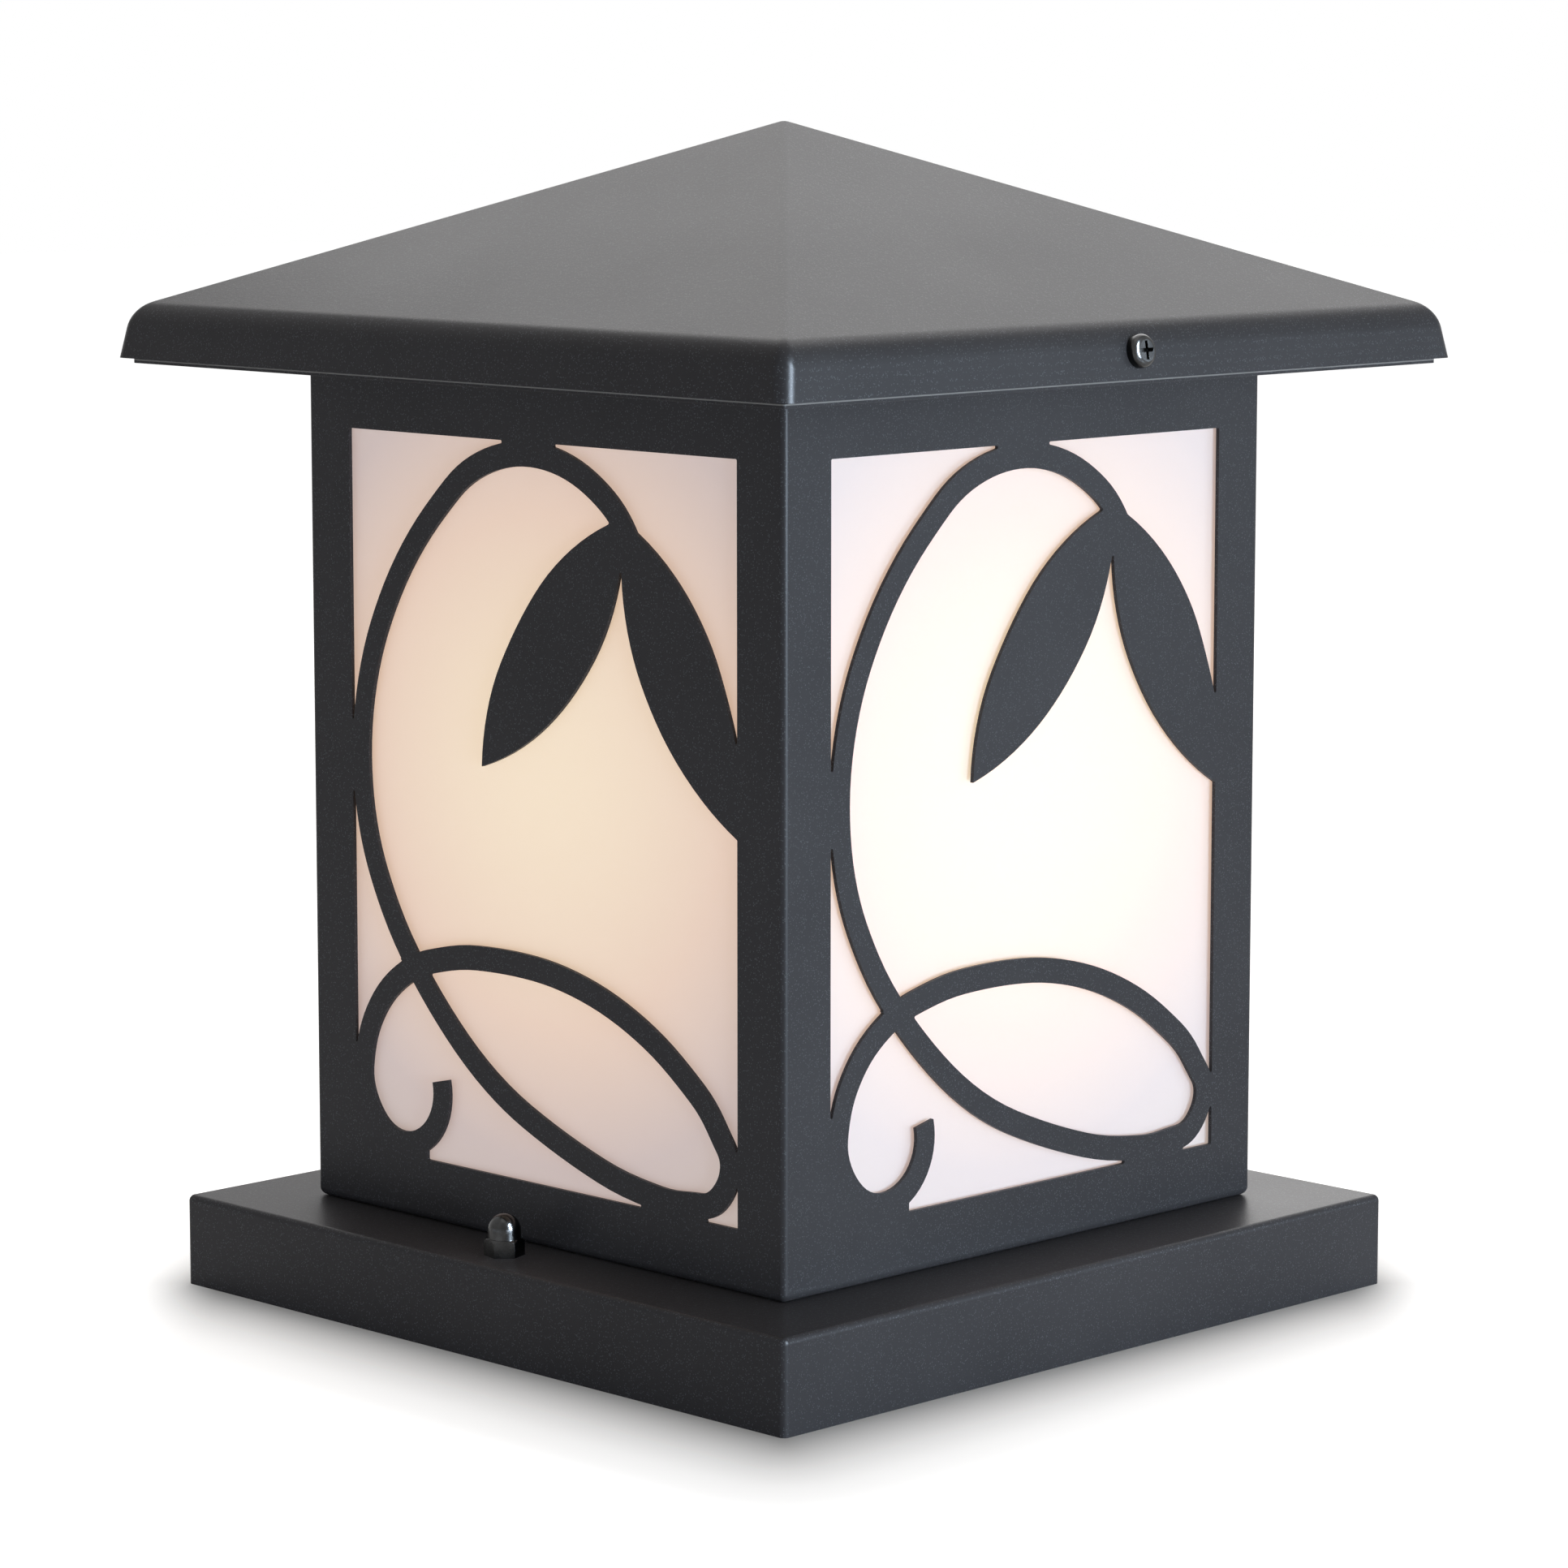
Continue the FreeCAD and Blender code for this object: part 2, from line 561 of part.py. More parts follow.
def corner_post():
    """A post inside the front corner, with a slot for the panel on each side."""
    profile_low, depth = POST_WALL + SLOT_OPENING, POST_DEPTH
    flat = [
        box(0, POST_CORE, 0, POST_CORE, FLOOR_TOP, CEILING),
        box(0, POST_LEG, 0, POST_WALL, FLOOR_TOP, CEILING),
        box(0, POST_LEG, profile_low, depth, FLOOR_TOP, CEILING),
        box(0, POST_WALL, 0, POST_LEG, FLOOR_TOP, CEILING),
        box(profile_low, depth, 0, POST_LEG, FLOOR_TOP, CEILING),
    ]
    post = fused(flat)
    post = moved(rotated(post, QUARTER_TURN), BODY_INNER_HALF, -BODY_INNER_HALF, 0)
    # its edges clear the rounded folds of the body
    corner, edge = CORNER_BEND + FOLD_CLEARANCE, EDGE_BEND + FOLD_CLEARANCE
    return post.common(rounded_square(BODY_INNER_HALF, FLOOR_TOP, CEILING, corner, edge, edge))


def diffuser():
    """The opal panel behind the -Y face."""
    inner = -PANEL_OUTER + PANEL_THICKNESS
    return box(-PANEL_HALF_WIDTH, PANEL_HALF_WIDTH, -PANEL_OUTER, inner, FLOOR_TOP, CEILING - PANEL_TOP_PLAY)


def rivets(grip_low, grip_high, head_above):
    """Eight pop rivets through two sheets, heads on one side and bulged tails on the other."""
    group = []
    for place in at_corners(RIVET_SPACING, RIVET_LINE):
        head_low, head_high = grip_high, grip_high + RIVET_HEAD_HEIGHT
        tail_low, tail_high = grip_low - RIVET_TAIL_HEIGHT, grip_low
        if not head_above:
            head_low, head_high = grip_low - RIVET_HEAD_HEIGHT, grip_low
            tail_low, tail_high = grip_high, grip_high + RIVET_TAIL_HEIGHT
        shank = rod(RIVET_RADIUS, grip_low, grip_high, place.x, place.y)
        head = rod(RIVET_HEAD_RADIUS, head_low, head_high, place.x, place.y)
        tail = rod(RIVET_TAIL_RADIUS, tail_low, tail_high, place.x, place.y)
        group.append(fused([shank, head, tail]))
    return joined(group)


def base_tray():
    """The folded base with all its holes, open underneath."""
    bend = BASE_BEND + BASE_SHEET
    tray = rounded_square(BASE_HALF, 0, BASE_HEIGHT, bend, bend)
    tray = tray.cut(rounded_square(BASE_HALF - BASE_SHEET, -OVERRUN, BASE_PLATE_BOTTOM, BASE_BEND, BASE_BEND))
    low, high = BASE_PLATE_BOTTOM - OVERRUN, BASE_HEIGHT + OVERRUN
    holes = [rod(STUD_RADIUS + HOLE_CLEARANCE, low, high, 0, y) for y in (-LEDGE_MIDDLE, LEDGE_MIDDLE)]
    for place in at_corners(RIVET_SPACING, RIVET_LINE):
        holes.append(rod(RIVET_RADIUS + HOLE_CLEARANCE, low, high, place.x, place.y))
    for y in (-BRACKET_FOOT_MIDDLE, BRACKET_FOOT_MIDDLE):
        holes.append(rod(SMALL_SCREW_RADIUS + HOLE_CLEARANCE, low, high, 0, y))
    for y in block_screw_places():
        holes.append(rod(BLOCK_SCREW_RADIUS, low, high, -BLOCK_OFFSET, y))
    holes.append(rod(SMALL_SCREW_RADIUS + HOLE_CLEARANCE, low, high, EARTH_LEAD_X, EARTH_POINT_Y))
    holes.append(rod(GROMMET_NECK_RADIUS, low, high, GROMMET_OFFSET, 0))
    return tray.cut(holes)


def mounting_bar():
    """The flat bar that is anchored to the ground or to a pillar."""
    half = BAR_WIDTH / 2
    bar = box(-half, half, -BAR_HALF_LENGTH, BAR_HALF_LENGTH, 0, BAR_THICKNESS)
    slot_half = (ANCHOR_SLOT_LENGTH - ANCHOR_SLOT_WIDTH) / 2
    low, high = -OVERRUN, BAR_THICKNESS + OVERRUN
    for middle in (-ANCHOR_SPACING / 2, ANCHOR_SPACING / 2):
        straight = box(-ANCHOR_SLOT_WIDTH / 2, ANCHOR_SLOT_WIDTH / 2, middle - slot_half, middle + slot_half, low, high)
        ends = [rod(ANCHOR_SLOT_WIDTH / 2, low, high, 0, middle + shift) for shift in (-slot_half, slot_half)]
        bar = bar.cut([straight] + ends)
    return bar


def mounting_studs():
    """Two studs welded on the bar, up through the base tray's ledge."""
    group = []
    for y in (-LEDGE_MIDDLE, LEDGE_MIDDLE):
        flange = rod(STUD_FLANGE_RADIUS, BAR_THICKNESS, BAR_THICKNESS + STUD_FLANGE_HEIGHT, 0, y)
        shank = rod(STUD_RADIUS - THREAD_CLEARANCE, BAR_THICKNESS, BASE_HEIGHT + STUD_ENGAGEMENT, 0, y)
        group.append(fused([flange, shank]))
    return joined(group)


def acorn_nuts():
    """Two domed cap nuts on the ledge."""
    dome_middle = BASE_HEIGHT + CAP_NUT_HEIGHT - CAP_NUT_DOME_RADIUS
    hex_top = BASE_HEIGHT + CAP_NUT_HEX_HEIGHT
    corner = CAP_NUT_FLATS / math.sqrt(3)
    cone = Part.makeCone(corner + CAP_NUT_HEX_HEIGHT, CAP_NUT_FLATS / 2, CAP_NUT_HEX_HEIGHT + corner - CAP_NUT_FLATS / 2)
    cone.translate(Vector(0, 0, hex_top - CAP_NUT_HEX_HEIGHT - corner + CAP_NUT_FLATS / 2))
    hexagonal = hexagon(CAP_NUT_FLATS, BASE_HEIGHT, hex_top).common(cone)
    neck = rod(CAP_NUT_DOME_RADIUS, BASE_HEIGHT, dome_middle)
    dome = Part.makeSphere(CAP_NUT_DOME_RADIUS, Vector(0, 0, dome_middle))
    bore = rod(STUD_RADIUS, BASE_HEIGHT - OVERRUN, BASE_HEIGHT + CAP_NUT_BORE_DEPTH)
    nut = fused([hexagonal, neck, dome]).cut(bore)
    return joined([moved(nut, 0, y, 0) for y in (-LEDGE_MIDDLE, LEDGE_MIDDLE)])


def soffit_tray():
    """The flat tray under the roof, open in the middle for the bulb."""
    tray = rounded_square(TRAY_HALF, TRAY_BOTTOM, TRAY_TOP, TRAY_CORNER)
    low, high = TRAY_BOTTOM - OVERRUN, TRAY_TOP + OVERRUN
    cutters = [square_block(TRAY_OPENING_HALF, low, high)]
    for place in at_corners(RIVET_SPACING, RIVET_LINE):
        cutters.append(rod(RIVET_RADIUS + HOLE_CLEARANCE, low, high, place.x, place.y))
    return tray.cut(cutters)


def roof_upstand():
    """The square frame welded on the tray, which the roof sits over."""
    outer = square_block(UPSTAND_HALF, TRAY_TOP, UPSTAND_TOP)
    return outer.cut(square_block(UPSTAND_HALF - UPSTAND_SHEET, TRAY_TOP - OVERRUN, UPSTAND_TOP + OVERRUN))


def roof_section(inset, bottom):
    """The roof's upright section through two opposite sides, drawn inside the outline by an inset."""
    up_skirt = Vector(-math.sin(SKIRT_LEAN), 0, math.cos(SKIRT_LEAN))
    up_slope = Vector(-math.cos(ROOF_PITCH), 0, math.sin(ROOF_PITCH))
    into_skirt = Vector(-math.cos(SKIRT_LEAN), 0, -math.sin(SKIRT_LEAN))
    into_slope = Vector(-math.sin(ROOF_PITCH), 0, -math.cos(ROOF_PITCH))
    turn = math.pi / 2 - SKIRT_LEAN - ROOF_PITCH
    # moving both lines inwards moves their corner along the line that halves its angle
    corner = Vector(SHOULDER_HALF, 0, SHOULDER_Z) + (into_skirt + into_slope) * (inset / (1 + math.cos(turn)))
    radius = SHOULDER_RADIUS - inset
    tangent = radius * math.tan(turn / 2)
    arc_low = corner - up_skirt * tangent
    arc_high = corner + up_slope * tangent
    centre = arc_low + into_skirt * radius
    arc_middle = centre + (corner - centre).normalize() * radius
    foot = arc_low - up_skirt * ((arc_low.z - bottom) / up_skirt.z)
    peak = arc_high + up_slope * (arc_high.x / -up_slope.x)

    def mirrored(point):
        return Vector(-point.x, 0, point.z)

    return closed_face([
        line_between(foot, arc_low),
        Part.Arc(arc_low, arc_middle, arc_high).toShape(),
        line_between(arc_high, peak),
        line_between(peak, mirrored(arc_high)),
        Part.Arc(mirrored(arc_high), mirrored(arc_middle), mirrored(arc_low)).toShape(),
        line_between(mirrored(arc_low), mirrored(foot)),
        line_between(mirrored(foot), foot),
    ])


def roof_block(inset, bottom):
    """The solid pyramid: two crossed ridges have it in common, and its hips are rounded."""
    section = roof_section(inset, bottom)
    section.translate(Vector(0, -2 * ROOF_HALF, 0))
    ridge = section.extrude(Vector(0, 4 * ROOF_HALF, 0))
    pyramid = ridge.common(rotated(ridge, QUARTER_TURN))
    near = HOLE_CLEARANCE
    hips = [
        edge for edge in edges_where(pyramid, lambda point: abs(abs(point.x) - abs(point.y)) < near)
        if edge.BoundBox.ZLength > near
    ]
    return pyramid.makeFillet(HIP_RADIUS - inset, hips)


def on_skirt(shape):
    """A fastener drawn upright at the origin, set outwards on the +X skirt and copied to -X."""
    placed = rotated(shape, QUARTER_TURN - math.degrees(SKIRT_LEAN), ORIGIN, Vector(0, 1, 0))
    placed = moved(placed, SCREW_SEAT_X, 0, SCREW_SEAT_Z)
    return joined([placed, rotated(placed, HALF_TURN)])


def roof_cap():
    """The pressed roof sheet with its screw holes."""
    cap = roof_block(0, SKIRT_BOTTOM).cut(roof_block(ROOF_SHEET, SKIRT_BOTTOM - OVERRUN))
    hole = rod(ROOF_SCREW_RADIUS + HOLE_CLEARANCE, -ROOF_SHEET - OVERRUN, OVERRUN)
    return cap.cut(on_skirt(hole))


def roof_screws():
    """Two pan-head screws with a cross recess, whose tips press on the upstand."""
    head = rod(PAN_HEAD_RADIUS, 0, PAN_HEAD_HEIGHT)
    rim = edges_where(head, lambda point: point.z > PAN_HEAD_HEIGHT / 2)
    head = head.makeFillet(PAN_EDGE_RADIUS, [edge for edge in rim if edge.BoundBox.ZLength < PAN_HEAD_HEIGHT / 2])
    screw = fused([head, rod(ROOF_SCREW_RADIUS, -SCREW_LENGTH, 0)])
    floor, top = PAN_HEAD_HEIGHT - RECESS_DEPTH, PAN_HEAD_HEIGHT + OVERRUN
    long_half, short_half = RECESS_LENGTH / 2, RECESS_WIDTH / 2
    screw = screw.cut([
        box(-long_half, long_half, -short_half, short_half, floor, top),
        box(-short_half, short_half, -long_half, long_half, floor, top),
    ])
    return on_skirt(screw)


def roof_nuts():
    """Two nuts welded on the inside of the skirt."""
    low, high = -WELD_NUT_DEPTH, -ROOF_SHEET - WELD_NUT_STANDOFF
    nut = hexagon(WELD_NUT_FLATS, low, high).cut(rod(ROOF_SCREW_RADIUS + THREAD_CLEARANCE, low - OVERRUN, 0))
    return on_skirt(rotated(nut, QUARTER_TURN))


def lamp_bracket():
    """A strip folded into a hat, feet on the base tray."""
    foot_end = BRACKET_SPAN / 2 + BRACKET_FOOT
    leg = BRACKET_SPAN / 2
    corners = [
        (-foot_end, BASE_HEIGHT + BRACKET_SHEET), (-leg, BASE_HEIGHT + BRACKET_SHEET),
        (-leg, BRACKET_TOP), (leg, BRACKET_TOP),
        (leg, BASE_HEIGHT + BRACKET_SHEET), (foot_end, BASE_HEIGHT + BRACKET_SHEET),
    ]
    outer = [Vector(-BRACKET_WIDTH / 2, y, z) for y, z in corners]
    inner_leg = leg - BRACKET_SHEET
    inner = [
        Vector(-BRACKET_WIDTH / 2, y, z) for y, z in (
            (foot_end, BASE_HEIGHT), (inner_leg, BASE_HEIGHT), (inner_leg, BRACKET_TOP - BRACKET_SHEET),
            (-inner_leg, BRACKET_TOP - BRACKET_SHEET), (-inner_leg, BASE_HEIGHT), (-foot_end, BASE_HEIGHT),
        )
    ]
    strip = Part.Face(Part.makePolygon(outer + inner + outer[:1])).extrude(Vector(BRACKET_WIDTH, 0, 0))

    def folds(places):
        found = []
        for edge in strip.Edges:
            middle = edge.CenterOfMass
            if edge.BoundBox.XLength > BRACKET_WIDTH / 2:
                if any(abs(abs(middle.y) - y) + abs(middle.z - z) < HOLE_CLEARANCE for y, z in places):
                    found.append(edge)
        return found

    outside = [(leg, BRACKET_TOP), (inner_leg, BASE_HEIGHT)]
    inside = [(inner_leg, BRACKET_TOP - BRACKET_SHEET), (leg, BASE_HEIGHT + BRACKET_SHEET)]
    strip = strip.makeFillet(BRACKET_BEND + BRACKET_SHEET, folds(outside))
    strip = strip.makeFillet(BRACKET_BEND, folds(inside))
    holes = []
    for y in (-BRACKET_FOOT_MIDDLE, BRACKET_FOOT_MIDDLE):
        holes.append(rod(SMALL_SCREW_RADIUS + HOLE_CLEARANCE, 0, BRACKET_TOP / 2 + BASE_HEIGHT / 2, 0, y))
    for y in (-HOLDER_SCREW_SPACING / 2, HOLDER_SCREW_SPACING / 2):
        holes.append(rod(HOLDER_SCREW_RADIUS + HOLE_CLEARANCE, BASE_HEIGHT, BRACKET_TOP + OVERRUN, 0, y))
    return strip.cut(holes)


def bracket_screws():
    """Two screws down through the bracket's feet and the base tray."""
    seat = BASE_HEIGHT + BRACKET_SHEET
    tip = BASE_PLATE_BOTTOM - SMALL_NUT_HEIGHT - SMALL_TIP_BEYOND_NUT
    group = []
    for y in (-BRACKET_FOOT_MIDDLE, BRACKET_FOOT_MIDDLE):
        head = rod(SMALL_HEAD_RADIUS, seat, seat + SMALL_HEAD_HEIGHT, 0, y)
        shank = rod(SMALL_SCREW_RADIUS, tip, seat, 0, y)
        slot = box(-SMALL_HEAD_RADIUS, SMALL_HEAD_RADIUS, y - SLOT_WIDTH / 2, y + SLOT_WIDTH / 2,
                   seat + SMALL_HEAD_HEIGHT - SLOT_DEPTH, seat + SMALL_HEAD_HEIGHT + OVERRUN)
        group.append(fused([head, shank]).cut(slot))
    return joined(group)


def small_nut(z_low, x, y):
    """A plain hexagon nut."""
    nut = hexagon(SMALL_NUT_FLATS, z_low, z_low + SMALL_NUT_HEIGHT, x, y)
    bore = rod(SMALL_SCREW_RADIUS + THREAD_CLEARANCE, z_low - OVERRUN, z_low + SMALL_NUT_HEIGHT + OVERRUN, x, y)
    return nut.cut(bore)


def bracket_nuts():
    """The nuts of the bracket's screws, under the base tray."""
    low = BASE_PLATE_BOTTOM - SMALL_NUT_HEIGHT
    return joined([small_nut(low, 0, y) for y in (-BRACKET_FOOT_MIDDLE, BRACKET_FOOT_MIDDLE)])


def holder_wire_places():
    """Where the live and the neutral lead enter the lampholder's underside."""
    return [Vector(LEAD_X, sign * WAY_PITCH, HOLDER_BOTTOM) for sign in (-1, 1)]


def lampholder_body():
    """The porcelain body with its well, screw holes and wire entries."""
    body = rod(HOLDER_RADIUS, HOLDER_BOTTOM, HOLDER_TOP)
    body = body.makeFillet(HOLDER_EDGE_RADIUS, [
        edge for edge in body.Edges if edge.BoundBox.ZMin > HOLDER_TOP - OVERRUN
    ])
    well = rod(SHELL_OUTER_RADIUS + SHELL_CLEARANCE, HOLDER_WELL_Z, HOLDER_TOP + OVERRUN)
    cutters = [well]
    for y in (-HOLDER_SCREW_SPACING / 2, HOLDER_SCREW_SPACING / 2):
        top = HOLDER_BOTTOM + HOLDER_SCREW_REACH + OVERRUN
        cutters.append(rod(HOLDER_SCREW_RADIUS + THREAD_CLEARANCE, HOLDER_BOTTOM - OVERRUN, top, 0, y))
    for place in holder_wire_places():
        hole = WIRE_RADIUS + WIRE_HOLE_CLEARANCE
        cutters.append(rod(hole, HOLDER_BOTTOM - OVERRUN, HOLDER_BOTTOM + WIRE_ENTRY_DEPTH, place.x, place.y))
    return body.cut(cutters)


def lampholder_shell():
    """The threaded metal sleeve in the well, drawn plain."""
    low, high = HOLDER_WELL_Z + SHELL_FLOOR_GAP, HOLDER_TOP - SHELL_TOP_GAP
    sleeve = tube(SHELL_OUTER_RADIUS, SHELL_INNER_RADIUS, low, high)
    # two tongues carry the sleeve on the floor of the well
    tongues = []
    for side in (-1, 1):
        near, far = sorted((side * SHELL_INNER_RADIUS, side * (SHELL_INNER_RADIUS - CONTACT_RADIUS)))
        tongues.append(box(near, far, -CONTACT_RADIUS, CONTACT_RADIUS, HOLDER_WELL_Z, HOLDER_WELL_Z + SHELL_WALL))
    legs = tube(SHELL_OUTER_RADIUS, SHELL_INNER_RADIUS, HOLDER_WELL_Z, low)
    legs = legs.common(box(-HOLDER_RADIUS, HOLDER_RADIUS, -CONTACT_RADIUS, CONTACT_RADIUS, HOLDER_WELL_Z, low))
    return fused([sleeve, legs] + tongues)


def lampholder_contact():
    """The centre contact on the well's floor."""
    base = rod(CONTACT_BASE_RADIUS, HOLDER_WELL_Z, HOLDER_WELL_Z + CONTACT_BASE_HEIGHT)
    return fused([base, rod(CONTACT_RADIUS, HOLDER_WELL_Z, CONTACT_TOP)])


def lampholder_screws():
    """Two screws up through the bracket into the lampholder."""
    seat = BRACKET_TOP - BRACKET_SHEET
    group = []
    for y in (-HOLDER_SCREW_SPACING / 2, HOLDER_SCREW_SPACING / 2):
        head = rod(HOLDER_SCREW_HEAD_RADIUS, seat - HOLDER_SCREW_HEAD_HEIGHT, seat, 0, y)
        shank = rod(HOLDER_SCREW_RADIUS, seat, HOLDER_BOTTOM + HOLDER_SCREW_REACH, 0, y)
        group.append(fused([head, shank]))
    return joined(group)


def bulb_tip():
    """The bulb's bottom contact."""
    return rod(BULB_TIP_RADIUS, BULB_BOTTOM, BULB_GLASS_Z)


def bulb_insulator():
    """The black glass between the tip and the cap."""
    return Part.makeCone(BULB_TIP_RADIUS, BULB_GLASS_TOP_RADIUS, BULB_GLASS_HEIGHT, Vector(0, 0, BULB_GLASS_Z))


def bulb_cap():
    """The bulb's screw cap, drawn plain, closed below by a ring on the black glass."""
    cup = rod(BULB_CAP_RADIUS, BULB_CAP_Z, BULB_HOUSING_Z)
    inside = rod(BULB_CAP_RADIUS - BULB_CAP_WALL, BULB_CAP_Z + BULB_CAP_WALL, BULB_HOUSING_Z + OVERRUN)
    return cup.cut(inside)


def bulb_housing():
    """The bulb's flared plastic housing."""
    neck, rim = BULB_CAP_RADIUS, BULB_HOUSING_TOP_RADIUS
    outer = Part.makeCone(neck, rim, BULB_HOUSING_HEIGHT, Vector(0, 0, BULB_HOUSING_Z))
    inner = Part.makeCone(
        neck - BULB_HOUSING_WALL, rim - BULB_HOUSING_WALL, BULB_HOUSING_HEIGHT, Vector(0, 0, BULB_HOUSING_Z)
    )
    return outer.cut(inner)


def bulb_led_plate():
    """The light source: a round plate with a ring of small chips, fitted in the housing's mouth."""
    top = BULB_RIM_Z - LED_PLATE_DEPTH
    slope = (BULB_HOUSING_TOP_RADIUS - BULB_CAP_RADIUS) / BULB_HOUSING_HEIGHT
    radius = BULB_HOUSING_TOP_RADIUS - BULB_HOUSING_WALL - (LED_PLATE_DEPTH + LED_PLATE_THICKNESS) * slope
    pieces = [rod(radius, top - LED_PLATE_THICKNESS, top)]
    half = LED_CHIP_SIZE / 2
    for step in range(LED_CHIP_COUNT):
        chip = box(LED_RING_RADIUS - half, LED_RING_RADIUS + half, -half, half, top, top + LED_CHIP_HEIGHT)
        pieces.append(rotated(chip, 2 * HALF_TURN * step / LED_CHIP_COUNT))
    return fused(pieces)


def bulb_globe():
    """The bulb's opal globe, seated on the housing's rim."""
    seat = BULB_HOUSING_TOP_RADIUS
    middle = BULB_RIM_Z + math.sqrt(BULB_GLOBE_RADIUS ** 2 - seat ** 2)
    centre = Vector(0, 0, middle)
    ball = Part.makeSphere(BULB_GLOBE_RADIUS, centre).cut(Part.makeSphere(BULB_GLOBE_RADIUS - BULB_GLOBE_WALL, centre))
    return ball.common(rod(2 * BULB_GLOBE_RADIUS, BULB_RIM_Z, middle + 2 * BULB_GLOBE_RADIUS))


def block_screw_places():
    """Where the terminal block's two fixing screws stand, along Y."""
    reach = BLOCK_LENGTH / 2 - BLOCK_SCREW_INSET
    return [-reach, reach]


def way_places():
    """Where the ways of the terminal block lie, along Y."""
    return [(way - (WAY_COUNT - 1) / 2) * WAY_PITCH for way in range(WAY_COUNT)]


def terminal_block():
    """The three-way block that joins the supply to the lamp's own leads."""
    half_width, half_length = BLOCK_WIDTH / 2, BLOCK_LENGTH / 2
    top = BASE_HEIGHT + BLOCK_HEIGHT
    block = box(-BLOCK_OFFSET - half_width, -BLOCK_OFFSET + half_width, -half_length, half_length, BASE_HEIGHT, top)
    rim = [edge for edge in block.Edges if edge.BoundBox.ZMin > top - OVERRUN]
    block = block.makeChamfer(BLOCK_EDGE, rim)
    cutters = []
    for y in way_places():
        for x_low, x_high in ((BLOCK_SIDE_X - WAY_BORE_DEPTH, BLOCK_SIDE_X + OVERRUN),
                              (BLOCK_BACK_X - OVERRUN, BLOCK_BACK_X + WAY_BORE_DEPTH)):
            hole = Part.makeCylinder(WIRE_RADIUS + WIRE_HOLE_CLEARANCE, x_high - x_low,
                                     Vector(x_low, y, WIRE_Z), Vector(1, 0, 0))
            cutters.append(hole)
        for x in clamp_screw_columns():
            radius = CLAMP_SCREW_RADIUS + THREAD_CLEARANCE
            cutters.append(rod(radius, top - CLAMP_SCREW_SINK, top + OVERRUN, x, y))
    for y in block_screw_places():
        cutters.append(rod(BLOCK_SCREW_RADIUS + HOLE_CLEARANCE, BASE_HEIGHT - OVERRUN, top + OVERRUN, -BLOCK_OFFSET, y))
    return block.cut(cutters)


def clamp_screw_columns():
    """The two rows of clamping screws in the terminal block, along X."""
    return [-BLOCK_OFFSET - BLOCK_WIDTH / 4, -BLOCK_OFFSET + BLOCK_WIDTH / 4]


def terminal_screws():
    """The clamping screws, two to each way."""
    bottom = BASE_HEIGHT + BLOCK_HEIGHT - CLAMP_SCREW_SINK
    top = bottom + CLAMP_SCREW_HEIGHT
    group = []
    for y in way_places():
        for x in clamp_screw_columns():
            slot = box(x - CLAMP_SCREW_RADIUS, x + CLAMP_SCREW_RADIUS, y - SLOT_WIDTH / 2, y + SLOT_WIDTH / 2,
                       top - SLOT_DEPTH, top + OVERRUN)
            group.append(rod(CLAMP_SCREW_RADIUS, bottom, top, x, y).cut(slot))
    return joined(group)


def terminal_block_screws():
    """Two long screws that hold the block on the base tray."""
    seat = BASE_HEIGHT + BLOCK_HEIGHT
    group = []
    for y in block_screw_places():
        head = rod(BLOCK_SCREW_HEAD_RADIUS, seat, seat + BLOCK_SCREW_HEAD_HEIGHT, -BLOCK_OFFSET, y)
        radius = BLOCK_SCREW_RADIUS - THREAD_CLEARANCE
        shank = rod(radius, BASE_PLATE_BOTTOM - SMALL_TIP_BEYOND_NUT, seat, -BLOCK_OFFSET, y)
        group.append(fused([head, shank]))
    return joined(group)


def lead(corners):
    """A round lead along straight runs joined by tangent arcs as large as the runs allow."""
    edges = []
    start = corners[0]
    for before, corner, after in zip(corners, corners[1:], corners[2:]):
        arriving, leaving = corner - before, after - corner
        turn = arriving.getAngle(leaving)
        shorter = min(arriving.Length, leaving.Length)
        tangent = (1 / 2 - 1 / 20) * shorter
        radius = tangent / math.tan(turn / 2)
        arriving.normalize()
        leaving.normalize()
        first, last = corner - arriving * tangent, corner + leaving * tangent
        inwards = (leaving - arriving).normalize()
        middle = corner + inwards * (radius / math.cos(turn / 2) - radius)
        edges.append(line_between(start, first))
        edges.append(Part.Arc(first, middle, last).toShape())
        start = last
        print("lead bend radius", round(radius, 1))
    edges.append(line_between(start, corners[-1]))
    path = Part.Wire(edges)
    direction = corners[1] - corners[0]
    section = Part.Wire(Part.Circle(corners[0], direction, WIRE_RADIUS).toShape())
    return path.makePipeShell([section], True, True)


def holder_lead(entry):
    """A lead from the terminal block to the lampholder's underside."""
    return lead([
        Vector(BLOCK_SIDE_X - WAY_BORE_DEPTH / 2, entry.y, WIRE_Z),
        Vector(entry.x, entry.y, WIRE_Z),
        Vector(entry.x, entry.y, entry.z + WIRE_ENTRY_DEPTH / 2),
    ])


def live_wire():
    """The brown lead."""
    return holder_lead(holder_wire_places()[0])


def neutral_wire():
    """The blue lead."""
    return holder_lead(holder_wire_places()[1])


def earth_wire():
    """The green and yellow lead, from the block's back to the earth lug."""
    return lead([
        Vector(BLOCK_BACK_X + WAY_BORE_DEPTH / 2, 0, WIRE_Z),
        Vector(EARTH_LEAD_X, 0, WIRE_Z),
        Vector(EARTH_LEAD_X, EARTH_POINT_Y - LUG_BARREL_GAP - LUG_BARREL_LENGTH / 2, WIRE_Z),
    ])


